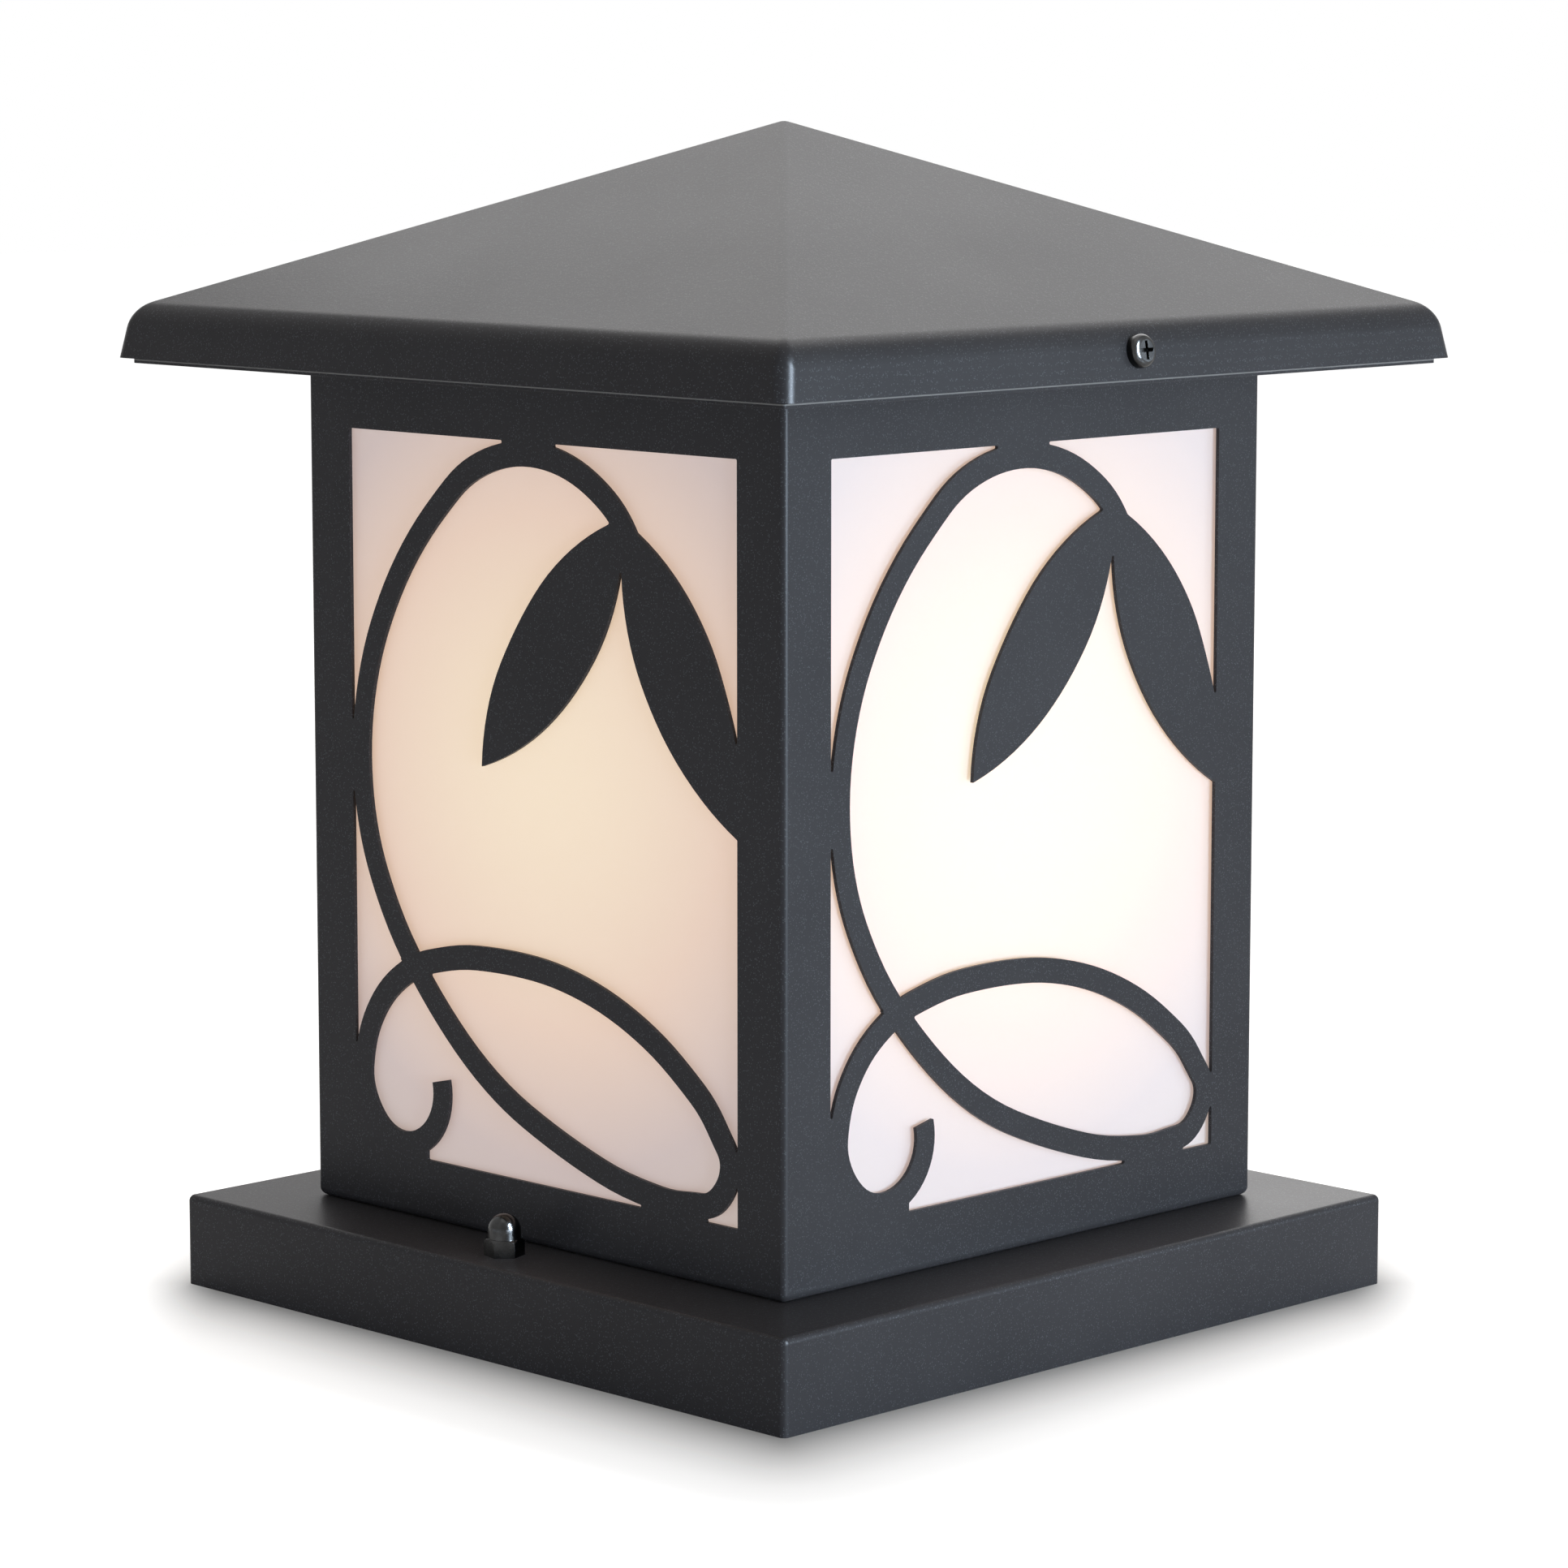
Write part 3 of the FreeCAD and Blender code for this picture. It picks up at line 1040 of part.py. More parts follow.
def earth_lug():
    """The crimped ring on the earth stud."""
    ring = rod(LUG_RING_RADIUS, LUG_RING_Z, LUG_RING_Z + LUG_SHEET, EARTH_LEAD_X, EARTH_POINT_Y)
    near, far = EARTH_POINT_Y - LUG_BARREL_GAP, EARTH_POINT_Y
    half = LUG_BARREL_RADIUS / 2
    neck = box(EARTH_LEAD_X - half, EARTH_LEAD_X + half, near - LUG_BARREL_LENGTH / 2, far,
               LUG_RING_Z, LUG_RING_Z + LUG_SHEET)
    start = Vector(EARTH_LEAD_X, near - LUG_BARREL_LENGTH, WIRE_Z)
    along = Vector(0, 1, 0)
    barrel = Part.makeCylinder(LUG_BARREL_RADIUS, LUG_BARREL_LENGTH, start, along)
    bore_start = start - along * OVERRUN
    bore = Part.makeCylinder(WIRE_RADIUS + THREAD_CLEARANCE, LUG_BARREL_LENGTH + 2 * OVERRUN, bore_start, along)
    stud_hole = rod(SMALL_SCREW_RADIUS + HOLE_CLEARANCE, BASE_HEIGHT, LUG_RING_Z + SMALL_NUT_HEIGHT,
                    EARTH_LEAD_X, EARTH_POINT_Y)
    return fused([ring, neck, barrel]).cut([bore, stud_hole])


def earth_stud():
    """The screw that stands up through the base tray as the earth point."""
    head_low = BASE_PLATE_BOTTOM - SMALL_HEAD_HEIGHT
    top = LUG_RING_Z + LUG_SHEET + SMALL_NUT_HEIGHT + SMALL_TIP_BEYOND_NUT
    head = rod(SMALL_HEAD_RADIUS, head_low, BASE_PLATE_BOTTOM, EARTH_LEAD_X, EARTH_POINT_Y)
    return fused([head, rod(SMALL_SCREW_RADIUS, head_low, top, EARTH_LEAD_X, EARTH_POINT_Y)])


def earth_nuts():
    """A tall nut under the lug and a plain one on top of it."""
    tall = hexagon(SMALL_NUT_FLATS, BASE_HEIGHT, LUG_RING_Z, EARTH_LEAD_X, EARTH_POINT_Y)
    bore = rod(SMALL_SCREW_RADIUS + THREAD_CLEARANCE, BASE_HEIGHT - OVERRUN, LUG_RING_Z + OVERRUN,
               EARTH_LEAD_X, EARTH_POINT_Y)
    return joined([tall.cut(bore), small_nut(LUG_RING_Z + LUG_SHEET, EARTH_LEAD_X, EARTH_POINT_Y)])


def cable_grommet():
    """The rubber grommet where the supply cable comes up, with a neck between two flanges."""
    low, high = BASE_PLATE_BOTTOM - GROMMET_FLANGE_HEIGHT, BASE_HEIGHT + GROMMET_FLANGE_HEIGHT
    grommet = fused([
        rod(GROMMET_FLANGE_RADIUS, low, BASE_PLATE_BOTTOM),
        rod(GROMMET_NECK_RADIUS, low, high),
        rod(GROMMET_FLANGE_RADIUS, BASE_HEIGHT, high),
    ])
    rims = [
        edge for edge in grommet.Edges
        if edge.BoundBox.XLength > 2 * GROMMET_NECK_RADIUS + OVERRUN and edge.BoundBox.ZLength < OVERRUN
        and (edge.BoundBox.ZMin < low + OVERRUN or edge.BoundBox.ZMin > high - OVERRUN)
    ]
    grommet = grommet.makeFillet(GROMMET_LIP_ROUND, rims)
    grommet = grommet.cut(rod(GROMMET_BORE_RADIUS, low - OVERRUN, high + OVERRUN))
    return moved(grommet, GROMMET_OFFSET, 0, 0)


def all_parts():
    """Every named piece of the lantern."""
    openings = window_openings()
    front = body_half(openings)
    post = corner_post()
    panel = diffuser()
    parts = {
        "base_tray": base_tray(),
        "mounting_bar": mounting_bar(),
        "mounting_studs": mounting_studs(),
        "acorn_nuts": acorn_nuts(),
        "body_front": front,
        "body_rear": rotated(front, HALF_TURN),
        "base_rivets": rivets(BASE_PLATE_BOTTOM, FLOOR_TOP, True),
        "tray_rivets": rivets(CEILING, TRAY_TOP, False),
        "soffit_tray": soffit_tray(),
        "roof_upstand": roof_upstand(),
        "roof_cap": roof_cap(),
        "roof_screws": roof_screws(),
        "roof_nuts": roof_nuts(),
        "lamp_bracket": lamp_bracket(),
        "bracket_screws": bracket_screws(),
        "bracket_nuts": bracket_nuts(),
        "lampholder_body": lampholder_body(),
        "lampholder_shell": lampholder_shell(),
        "lampholder_contact": lampholder_contact(),
        "lampholder_screws": lampholder_screws(),
        "bulb_tip": bulb_tip(),
        "bulb_insulator": bulb_insulator(),
        "bulb_cap": bulb_cap(),
        "bulb_housing": bulb_housing(),
        "bulb_led_plate": bulb_led_plate(),
        "bulb_globe": bulb_globe(),
        "terminal_block": terminal_block(),
        "terminal_screws": terminal_screws(),
        "terminal_block_screws": terminal_block_screws(),
        "live_wire": live_wire(),
        "neutral_wire": neutral_wire(),
        "earth_wire": earth_wire(),
        "earth_lug": earth_lug(),
        "earth_stud": earth_stud(),
        "earth_nuts": earth_nuts(),
        "cable_grommet": cable_grommet(),
    }
    for turn, side in enumerate(("front", "right", "back", "left")):
        parts["corner_post_" + side] = rotated(post, QUARTER_TURN * turn)
        parts["diffuser_" + side] = rotated(panel, QUARTER_TURN * turn)
    return parts


def main():
    """Write every piece and say what it measures."""
    os.makedirs("parts", exist_ok=True)
    for name, shape in all_parts().items():
        size = shape.BoundBox
        print(name, "solids", len(shape.Solids), "valid", shape.isValid(), "volume", round(shape.Volume),
              "z", round(size.ZMin, 2), round(size.ZMax, 2))
        shape.exportStep(os.path.join("parts", name + ".step"))
    print("bulb rise", BULB_RISE, "roof lift", ROOF_LIFT)


main()
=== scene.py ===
# %% [markdown]
# A square garden lantern of powder-coated sheet steel, with cut-out vines in front of glowing
# opal panels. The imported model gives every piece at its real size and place. This lesson dresses
# it: soft studio light, a camera, procedural finishes, and a few pieces whose real shape is finer
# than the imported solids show, such as rolled screw threads and folded edges with their thick coat.
# Everything is in metres, with the origin in the middle of the base's underside.

# %% Load the frame
import math
import bpy
from mathutils import Matrix, Vector


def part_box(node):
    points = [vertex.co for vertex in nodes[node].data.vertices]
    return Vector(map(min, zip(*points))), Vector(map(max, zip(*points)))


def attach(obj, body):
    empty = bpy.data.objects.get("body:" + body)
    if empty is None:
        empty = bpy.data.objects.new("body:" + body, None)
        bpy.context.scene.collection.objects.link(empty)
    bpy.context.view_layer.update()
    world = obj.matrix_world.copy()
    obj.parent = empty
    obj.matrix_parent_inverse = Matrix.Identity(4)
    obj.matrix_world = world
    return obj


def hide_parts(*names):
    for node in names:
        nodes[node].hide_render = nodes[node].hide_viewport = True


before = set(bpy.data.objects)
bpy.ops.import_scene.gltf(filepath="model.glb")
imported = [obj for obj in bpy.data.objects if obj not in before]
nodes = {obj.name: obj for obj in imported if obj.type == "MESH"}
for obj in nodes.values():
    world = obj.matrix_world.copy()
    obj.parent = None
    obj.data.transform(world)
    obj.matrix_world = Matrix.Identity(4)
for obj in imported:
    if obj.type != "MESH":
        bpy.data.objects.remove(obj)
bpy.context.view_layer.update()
MM = 0.001

# %% [markdown]
# The camera stands a little higher than the roof and looks slightly down on the front corner, so
# that two faces show equally. A long lens from about a metre and a half keeps the edges nearly
# parallel. The camera tilts and isn't shifted, so that a view from any other side stays centred.

# %% Camera
CAMERA_DISTANCE = 1.5527
CAMERA_HEIGHT = 0.3705
CAMERA_BEARING = math.radians(45)
CAMERA_DIP = math.radians(8.083)
CAMERA_SENSOR = 36.0
CAMERA_LENS = 122.63

camera_data = bpy.data.cameras.new("camera")
camera_data.sensor_width = CAMERA_SENSOR
camera_data.lens = CAMERA_LENS
camera = bpy.data.objects.new("camera", camera_data)
bpy.context.scene.collection.objects.link(camera)
outward = Vector((math.sin(CAMERA_BEARING), -math.cos(CAMERA_BEARING), 0))
camera.location = outward * CAMERA_DISTANCE + Vector((0, 0, CAMERA_HEIGHT))
looking = -outward * math.cos(CAMERA_DIP) - Vector((0, 0, math.sin(CAMERA_DIP)))
camera.rotation_euler = looking.to_track_quat("-Z", "Y").to_euler()
bpy.context.scene.camera = camera
bpy.context.scene.view_settings.view_transform = "Standard"
print("camera at", tuple(round(value, 3) for value in camera.location))

# %% [markdown]
# Materials are node trees, and the same few lines are needed for each of them: make a material,
# find its shader, add a node, join two sockets. These small helpers keep the finishes short
# enough to read.

# %% Helpers for node trees
TONE_LOW = 0.3
TONE_HIGH = 0.7


def add_node(tree, kind, **values):
    """A new node, with its properties set by name."""
    node = tree.nodes.new(kind)
    for name, value in values.items():
        setattr(node, name, value)
    return node


def new_material(name):
    """A material with node tree, its tree and its shader."""
    material = bpy.data.materials.new(name)
    material.use_nodes = True
    return material, material.node_tree, material.node_tree.nodes["Principled BSDF"]


def set_sockets(node, **values):
    """Sets input sockets, named with underscores for spaces."""
    for name, value in values.items():
        node.inputs[name.replace("_", " ")].default_value = value


def math_node(tree, operation, first, second=None):
    """A math node whose operands are sockets or plain numbers."""
    node = add_node(tree, "ShaderNodeMath", operation=operation)
    for socket, operand in zip(node.inputs, (first, second)):
        if operand is None:
            continue
        if isinstance(operand, (int, float)):
            socket.default_value = operand
        else:
            tree.links.new(operand, socket)
    return node.outputs[0]


def ramp(tree, factor, stops):
    """A colour ramp from (position, colour) stops."""
    node = add_node(tree, "ShaderNodeValToRGB")
    while len(node.color_ramp.elements) < len(stops):
        node.color_ramp.elements.new(1)
    for element, (position, colour) in zip(node.color_ramp.elements, stops):
        element.position = position
        element.color = (*colour, 1)
    tree.links.new(factor, node.inputs["Fac"])
    return node.outputs["Color"]


def grey(value):
    """A neutral colour."""
    return (value, value, value)


def two_tone(tree, factor, low, high):
    """Two tones that blend over the middle of a noise."""
    return ramp(tree, factor, [(TONE_LOW, low), (TONE_HIGH, high)])


def varied(colour, share):
    """A colour made darker, and made lighter, by a share of itself."""
    low = tuple(channel * (1 - share) for channel in colour)
    high = tuple(min(1.0, channel * (1 + share)) for channel in colour)
    return low, high


def mixed(tree, factor, first, second):
    """One colour where the factor is 0 and the other where it is 1; either may be a socket."""
    node = add_node(tree, "ShaderNodeMix", data_type="RGBA")
    tree.links.new(factor, node.inputs["Factor"])
    for socket, colour in zip((node.inputs[6], node.inputs[7]), (first, second)):
        if isinstance(colour, tuple):
            socket.default_value = (*colour, 1)
        else:
            tree.links.new(colour, socket)
    return node.outputs[2]


def rescaled(tree, value, near, far, shape="LINEAR"):
    """A value that goes from 0 to 1 while the given one goes from near to far."""
    scaled = add_node(tree, "ShaderNodeMapRange", interpolation_type=shape)
    set_sockets(scaled, From_Min=near, From_Max=far)
    tree.links.new(value, scaled.inputs["Value"])
    return scaled.outputs["Result"]


def object_coordinates(tree):
    """The place on the object as a vector, in metres."""
    return add_node(tree, "ShaderNodeTexCoord").outputs["Object"]


def object_place(tree):
    """The place on the object, split into x, y and z."""
    place = add_node(tree, "ShaderNodeSeparateXYZ")
    tree.links.new(object_coordinates(tree), place.inputs["Vector"])
    return place.outputs


# %% [markdown]
# The studio is a white floor and a white world. What the camera sees of the world is plain
# white, and so is what gloss and glass reflect, while the light that it casts is much weaker,
# so the dark coat keeps its depth. The floor keeps the lantern's real soft shadow, and a painted
# shadow is added round the base: the floor is seen darker, and an emission lift makes it darkest
# where the base touches it, dies away towards the corners at its two sides, and fades to the same
# white a hand's breadth further out, so no horizon shows. Both fades, this painted shadow and the
# painted glow of the panels further down, are worked out from places on the object.

# %% Floor and world
FLOOR_SIZE = 12.0
FLOOR_COLOUR = 0.84
# The darker floor colour the camera sees, under the painted shadow's lift
FLOOR_SEEN_COLOUR = (0.445, 0.425, 0.405)
PAPER_ROUGHNESS = 0.9
# Width of the painted shadow round the base, and how square its outline is
PAINTED_SHADOW_WIDTH = 0.064
FADE_SQUARENESS = 4.0
DIAGONAL = math.sqrt(0.5)
# The painted shadow dies away towards the side corners between these diagonal reaches
SHADOW_SIDE_FADE_START = 0.165
SHADOW_SIDE_FADE_END = 0.203
WORLD_LIGHT = 0.115
WORLD_WHITE = 1.0
# Painted shadow: how far the seen floor is lifted, from the base's edge outwards in shares of its width
PAINTED_SHADOW_LIFT_STOPS = (
    (0.0, 0.12),
    (0.125, 0.265),
    (0.25, 0.41),
    (0.41, 0.58),
    (0.63, 0.76),
    (0.8, 0.83),
    (1.0, 1.0),
)

bpy.ops.object.select_all(action="DESELECT")
bpy.ops.mesh.primitive_plane_add(size=FLOOR_SIZE, location=(0, 0, 0))
floor = bpy.context.object
floor.name = "studio_floor"


def white_seen(tree):
    """1 for camera, glossy and transmission rays, otherwise 0."""
    path = add_node(tree, "ShaderNodeLightPath")
    seen = math_node(tree, "MAXIMUM", path.outputs["Is Camera Ray"], path.outputs["Is Glossy Ray"])
    return math_node(tree, "MAXIMUM", seen, path.outputs["Is Transmission Ray"])


def past_base(tree, place, edge):
    """How far a place lies outside the base, measured round its corners, in shares of the painted shadow's
    width.
    """
    beyond = []
    for axis in ("X", "Y"):
        reach = math_node(tree, "ABSOLUTE", place[axis])
        outside = rescaled(tree, reach, edge, edge + PAINTED_SHADOW_WIDTH)
        beyond.append(math_node(tree, "POWER", outside, FADE_SQUARENESS))
    return math_node(tree, "POWER", math_node(tree, "ADD", *beyond), 1 / FADE_SQUARENESS)


def floor_material():
    """White paper, seen darker, with a painted shadow round the base that an emission lift fades to white.
    """
    material, tree, shader = new_material("paper_painted_shadow")
    set_sockets(shader, Roughness=PAPER_ROUGHNESS, Specular_IOR_Level=0)
    seen = white_seen(tree)
    paper = mixed(tree, seen, grey(FLOOR_COLOUR), FLOOR_SEEN_COLOUR)
    tree.links.new(paper, shader.inputs["Base Color"])
    place = object_place(tree)
    # Painted shadow: the lift is least at the base's edge and grows outwards and towards the side corners
    near = past_base(tree, place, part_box("base_tray")[1].x)
    near = ramp(tree, near, [(share, grey(painted_shadow_lift)) for share, painted_shadow_lift in PAINTED_SHADOW_LIFT_STOPS])
    sideways = math_node(tree, "ABSOLUTE", math_node(tree, "ADD", place["X"], place["Y"]))
    sideways = math_node(tree, "MULTIPLY", sideways, DIAGONAL)
    to_white = rescaled(tree, sideways, SHADOW_SIDE_FADE_START, SHADOW_SIDE_FADE_END, shape="SMOOTHSTEP")
    painted_shadow_lift = mixed(tree, to_white, near, grey(1.0))
    lifted = add_node(tree, "ShaderNodeEmission")
    tree.links.new(math_node(tree, "MULTIPLY", seen, painted_shadow_lift), lifted.inputs["Strength"])
    both = add_node(tree, "ShaderNodeAddShader")
    tree.links.new(shader.outputs["BSDF"], both.inputs[0])
    tree.links.new(lifted.outputs["Emission"], both.inputs[1])
    tree.links.new(both.outputs["Shader"], tree.nodes["Material Output"].inputs["Surface"])
    return material


floor.data.materials.append(floor_material())
world = bpy.data.worlds.new("studio")
world.use_nodes = True
bpy.context.scene.world = world
background = world.node_tree.nodes["Background"]
strength = math_node(world.node_tree, "MULTIPLY", white_seen(world.node_tree), WORLD_WHITE - WORLD_LIGHT)
strength = math_node(world.node_tree, "ADD", strength, WORLD_LIGHT)
world.node_tree.links.new(strength, background.inputs["Strength"])
set_sockets(background, Color=(*grey(1.0), 1))
print("floor and world ready")

# %% [markdown]
# The key is a cool softbox far out on the right and about level with the lantern: it strikes the
# right face at a slant, and the cut-outs throw their shadow on the opal panel, so a warm fringe
# shows beside each edge. A second cool lamp in front of the right face evens it out, and a weak
# strip just off the floor on either side stands in for the light that a bright floor throws back
# on the base. A wide softbox behind and above gives the roof its grey sheen, and a weak one
# overhead opens the dark side. Two lights that only gloss can see draw the bright line down the
# rounded front corner and the pale sheen on the far end of the right ledge.

# %% Lamps
COOL_COLOUR = (0.70, 0.84, 1.0)
PLAIN_COLOUR = (1.0, 0.99, 0.985)
MIDDLE = (0, 0, 0.15)
# Name, place, width, height, power, colour and aim
LAMPS = (
    ("key_right", (1.90, 2.10, 0.34), 0.9, 0.8, 11.8, COOL_COLOUR, MIDDLE),
    ("side_right", (2.20, -0.50, 0.16), 1.0, 0.3, 17.5, COOL_COLOUR, MIDDLE),
    ("sheen_above", (-0.82, 1.08, 1.75), 2.0, 2.0, 28.0, PLAIN_COLOUR, MIDDLE),
    ("top", (0.3, -0.3, 2.2), 1.4, 1.4, 5.0, PLAIN_COLOUR, MIDDLE),
    ("corner_light", (1.60, 0.08, 0.75), 0.50, 1.2, 330.0, COOL_COLOUR, (0, 0, 0.28)),
    ("low_right", (0.55, 0, 0.03), 0.7, 0.05, 0.80, COOL_COLOUR, (0.125, 0, 0.06)),
    ("low_left", (0, -0.55, 0.03), 0.7, 0.05, 0.17, COOL_COLOUR, (0, -0.125, 0.06)),
    ("ledge_sheen", (-0.63, 0.99, 0.29), 0.5, 0.4, 1.5, PLAIN_COLOUR, (0.115, 0.09, 0.03)),
)
ONLY_FOR_GLOSS = ("corner_light", "ledge_sheen")
HIDDEN = ("low_right", "low_left", "ledge_sheen")


def softbox(name, place, width, height, power, colour, aim):
    """A rectangular area lamp at a place, aimed at a point."""
    data = bpy.data.lights.new(name, "AREA")
    data.shape = "RECTANGLE"
    data.size = width
    data.size_y = height
    data.energy = power
    data.color = colour
    lamp = bpy.data.objects.new(name, data)
    bpy.context.scene.collection.objects.link(lamp)
    lamp.location = place
    lamp.rotation_euler = (Vector(aim) - Vector(place)).to_track_quat("-Z", "Y").to_euler()
    return lamp


for name, *settings in LAMPS:
    lamp = softbox(name, *settings)
    lamp.visible_diffuse = name not in ONLY_FOR_GLOSS
    lamp.visible_camera = name not in HIDDEN
print("lamps", sorted(name for name, *settings in LAMPS))

# %% [markdown]
# Powder coat is baked plastic powder. It has a fine orange peel, and this one holds small pale
# metal flecks. Both are worked out from the place on the object, at their real size, in one node
# group that every coated piece uses.

# %% Node group: powder texture
PEEL_PER_METRE = 900.0
FLECKS_PER_METRE = 2300.0
FLECK_SHARE = 0.20
FLECK_RADIUS_SHARE = 0.42
CLOUDS_PER_METRE = 14.0


def new_group(name, inputs, outputs):
    """A shader node group with named value inputs and outputs."""
    group = bpy.data.node_groups.new(name, "ShaderNodeTree")
    for label, default in inputs:
        socket = group.interface.new_socket(label, in_out="INPUT", socket_type="NodeSocketFloat")
        socket.default_value = default
    for label in outputs:
        group.interface.new_socket(label, in_out="OUTPUT", socket_type="NodeSocketFloat")
    return group, group.nodes.new("NodeGroupInput"), group.nodes.new("NodeGroupOutput")


def noise(tree, place, scale, detail=2.0, rough=0.5):
    """Noise at a place; scale is in cells per metre."""
    node = add_node(tree, "ShaderNodeTexNoise")
    set_sockets(node, Scale=scale, Detail=detail, Roughness=rough)
    tree.links.new(place, node.inputs["Vector"])
    return node.outputs["Fac"]


def powder_group():
    """Orange peel height, metal flecks and slow unevenness of a powder coat."""
    tree, given, made = new_group(
        "powder_texture",
        [
            ("Peel per metre", PEEL_PER_METRE),
            ("Flecks per metre", FLECKS_PER_METRE),
            ("Fleck share", FLECK_SHARE),
        ],
        ["Height", "Flecks", "Unevenness"],
    )
    place = object_coordinates(tree)
    peel = add_node(tree, "ShaderNodeTexNoise")
    set_sockets(peel, Detail=3.0, Roughness=0.55)
    tree.links.new(place, peel.inputs["Vector"])
    tree.links.new(given.outputs["Peel per metre"], peel.inputs["Scale"])
    tree.links.new(peel.outputs["Fac"], made.inputs["Height"])
    cells = add_node(tree, "ShaderNodeTexVoronoi", feature="F1")
    tree.links.new(place, cells.inputs["Vector"])
    tree.links.new(given.outputs["Flecks per metre"], cells.inputs["Scale"])
    chance = add_node(tree, "ShaderNodeSeparateColor")
    tree.links.new(cells.outputs["Color"], chance.inputs["Color"])
    chosen = math_node(tree, "LESS_THAN", chance.outputs[0], given.outputs["Fleck share"])
    inside = math_node(tree, "LESS_THAN", cells.outputs["Distance"], FLECK_RADIUS_SHARE)
    tree.links.new(math_node(tree, "MULTIPLY", chosen, inside), made.inputs["Flecks"])
    clouds = noise(tree, place, CLOUDS_PER_METRE, detail=4.0, rough=0.6)
    tree.links.new(clouds, made.inputs["Unevenness"])
    return tree


powder_texture = powder_group()


def bump(tree, shader, height, strength, distance):
    """Height that turns the shader's normal; distance is in metres."""
    node = add_node(tree, "ShaderNodeBump")
    set_sockets(node, Strength=strength, Distance=distance)
    tree.links.new(height, node.inputs["Height"])
    tree.links.new(node.outputs["Normal"], shader.inputs["Normal"])


print("node groups", [group.name for group in bpy.data.node_groups])

# %% [markdown]
# The charcoal coat itself: a dark grey, nearly neutral, that varies a little over the sheet, with
# lighter flecks. Roughness stays fairly high, so lamps and floor give broad soft sheens in place
# of mirror images. The soffit tray has the same coat, with a painted highlight on its cut edge,
# which shows as a fine pale line under the roof's skirt.

# %% Finish: charcoal powder coat
COAT_DARK = (0.0428, 0.0405, 0.0425)
COAT_LIGHT = (0.0525, 0.0495, 0.0515)
FLECK_COLOUR = (0.104, 0.105, 0.112)
COAT_GLOSS = 0.07
COAT_ROUGHNESS = 0.33
COAT_ROUGHNESS_SPREAD = 0.10
PEEL_STRENGTH = 0.5
PEEL_DEPTH = 0.08 * MM
# Painted highlight on the soffit tray's cut edge, and how deep and how high it reaches
PAINTED_EDGE_HIGHLIGHT = (0.30, 0.285, 0.27)
EDGE_HIGHLIGHT_DEPTH = 0.3 * MM
EDGE_HIGHLIGHT_HEIGHT = 0.40 * MM


def square_reach(tree):
    """How far a place lies from the z axis, measured along the sides of a square."""
    place = object_place(tree)
    across = math_node(tree, "ABSOLUTE", place["X"])
    along = math_node(tree, "ABSOLUTE", place["Y"])
    return math_node(tree, "MAXIMUM", across, along)


def powder_coat(name, highlight_place=None):
    """Charcoal powder coat with an orange peel, and a pale painted highlight past a reach and above a
    height if given.
    """
    material, tree, shader = new_material(name)
    texture = add_node(tree, "ShaderNodeGroup", node_tree=powder_texture)
    tone = two_tone(tree, texture.outputs["Unevenness"], COAT_DARK, COAT_LIGHT)
    colour = mixed(tree, texture.outputs["Flecks"], tone, FLECK_COLOUR)
    # Painted highlight: pale colour on the cut edge, outside a reach and above a height
    if highlight_place is not None:
        highlight_reach, highlight_height = highlight_place
        on_edge = math_node(tree, "GREATER_THAN", square_reach(tree), highlight_reach)
        on_top = math_node(tree, "GREATER_THAN", object_place(tree)["Z"], highlight_height)
        colour = mixed(tree, math_node(tree, "MULTIPLY", on_edge, on_top), colour, PAINTED_EDGE_HIGHLIGHT)
    tree.links.new(colour, shader.inputs["Base Color"])
    rough = math_node(tree, "MULTIPLY", texture.outputs["Unevenness"], COAT_ROUGHNESS_SPREAD)
    tree.links.new(math_node(tree, "ADD", rough, COAT_ROUGHNESS), shader.inputs["Roughness"])
    set_sockets(shader, Specular_IOR_Level=COAT_GLOSS)
    bump(tree, shader, texture.outputs["Height"], PEEL_STRENGTH, PEEL_DEPTH)
    return material


tray_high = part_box("soffit_tray")[1]
coat = powder_coat("charcoal_powder_coat")
# The soffit tray's coat carries the painted edge highlight
tray_coat_with_highlight = powder_coat("tray_coat_painted_highlight", (tray_high.x - EDGE_HIGHLIGHT_DEPTH, tray_high.z - EDGE_HIGHLIGHT_HEIGHT))

# %% [markdown]
# The opal panels are frosted acrylic lit by the bulb behind them. The bulb's light through
# them is painted in as a glow of their own, brightest and yellowest level with the globe and
# fading to a dimmer, pinker white towards the corners. The painted glow is worked out from the
# distance to the bulb, so all four panels get it, inside and outside.

# %% Finish: opal acrylic with a painted glow
# Painted glow of the bulb's light, ramped on the distance from the globe's middle
GLOW_NEAR = 0.094
GLOW_FAR = 0.170
GLOW_STRENGTH = 0.72
GLOW_STOPS = (
    (0.0, (1.00, 0.78, 0.52)),
    (0.34, (0.86, 0.59, 0.42)),
    (0.71, (0.60, 0.45, 0.40)),
    (1.0, (0.58, 0.46, 0.40)),
)
OPAL_COLOUR = (0.53, 0.53, 0.54, 1)
OPAL_ROUGHNESS = 0.45
OPAL_GLOSS = 0.15
FROST_PER_METRE = 2200.0
FROST_STRENGTH = 0.25
FROST_DEPTH = 0.02 * MM
globe_low, globe_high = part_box("bulb_globe")


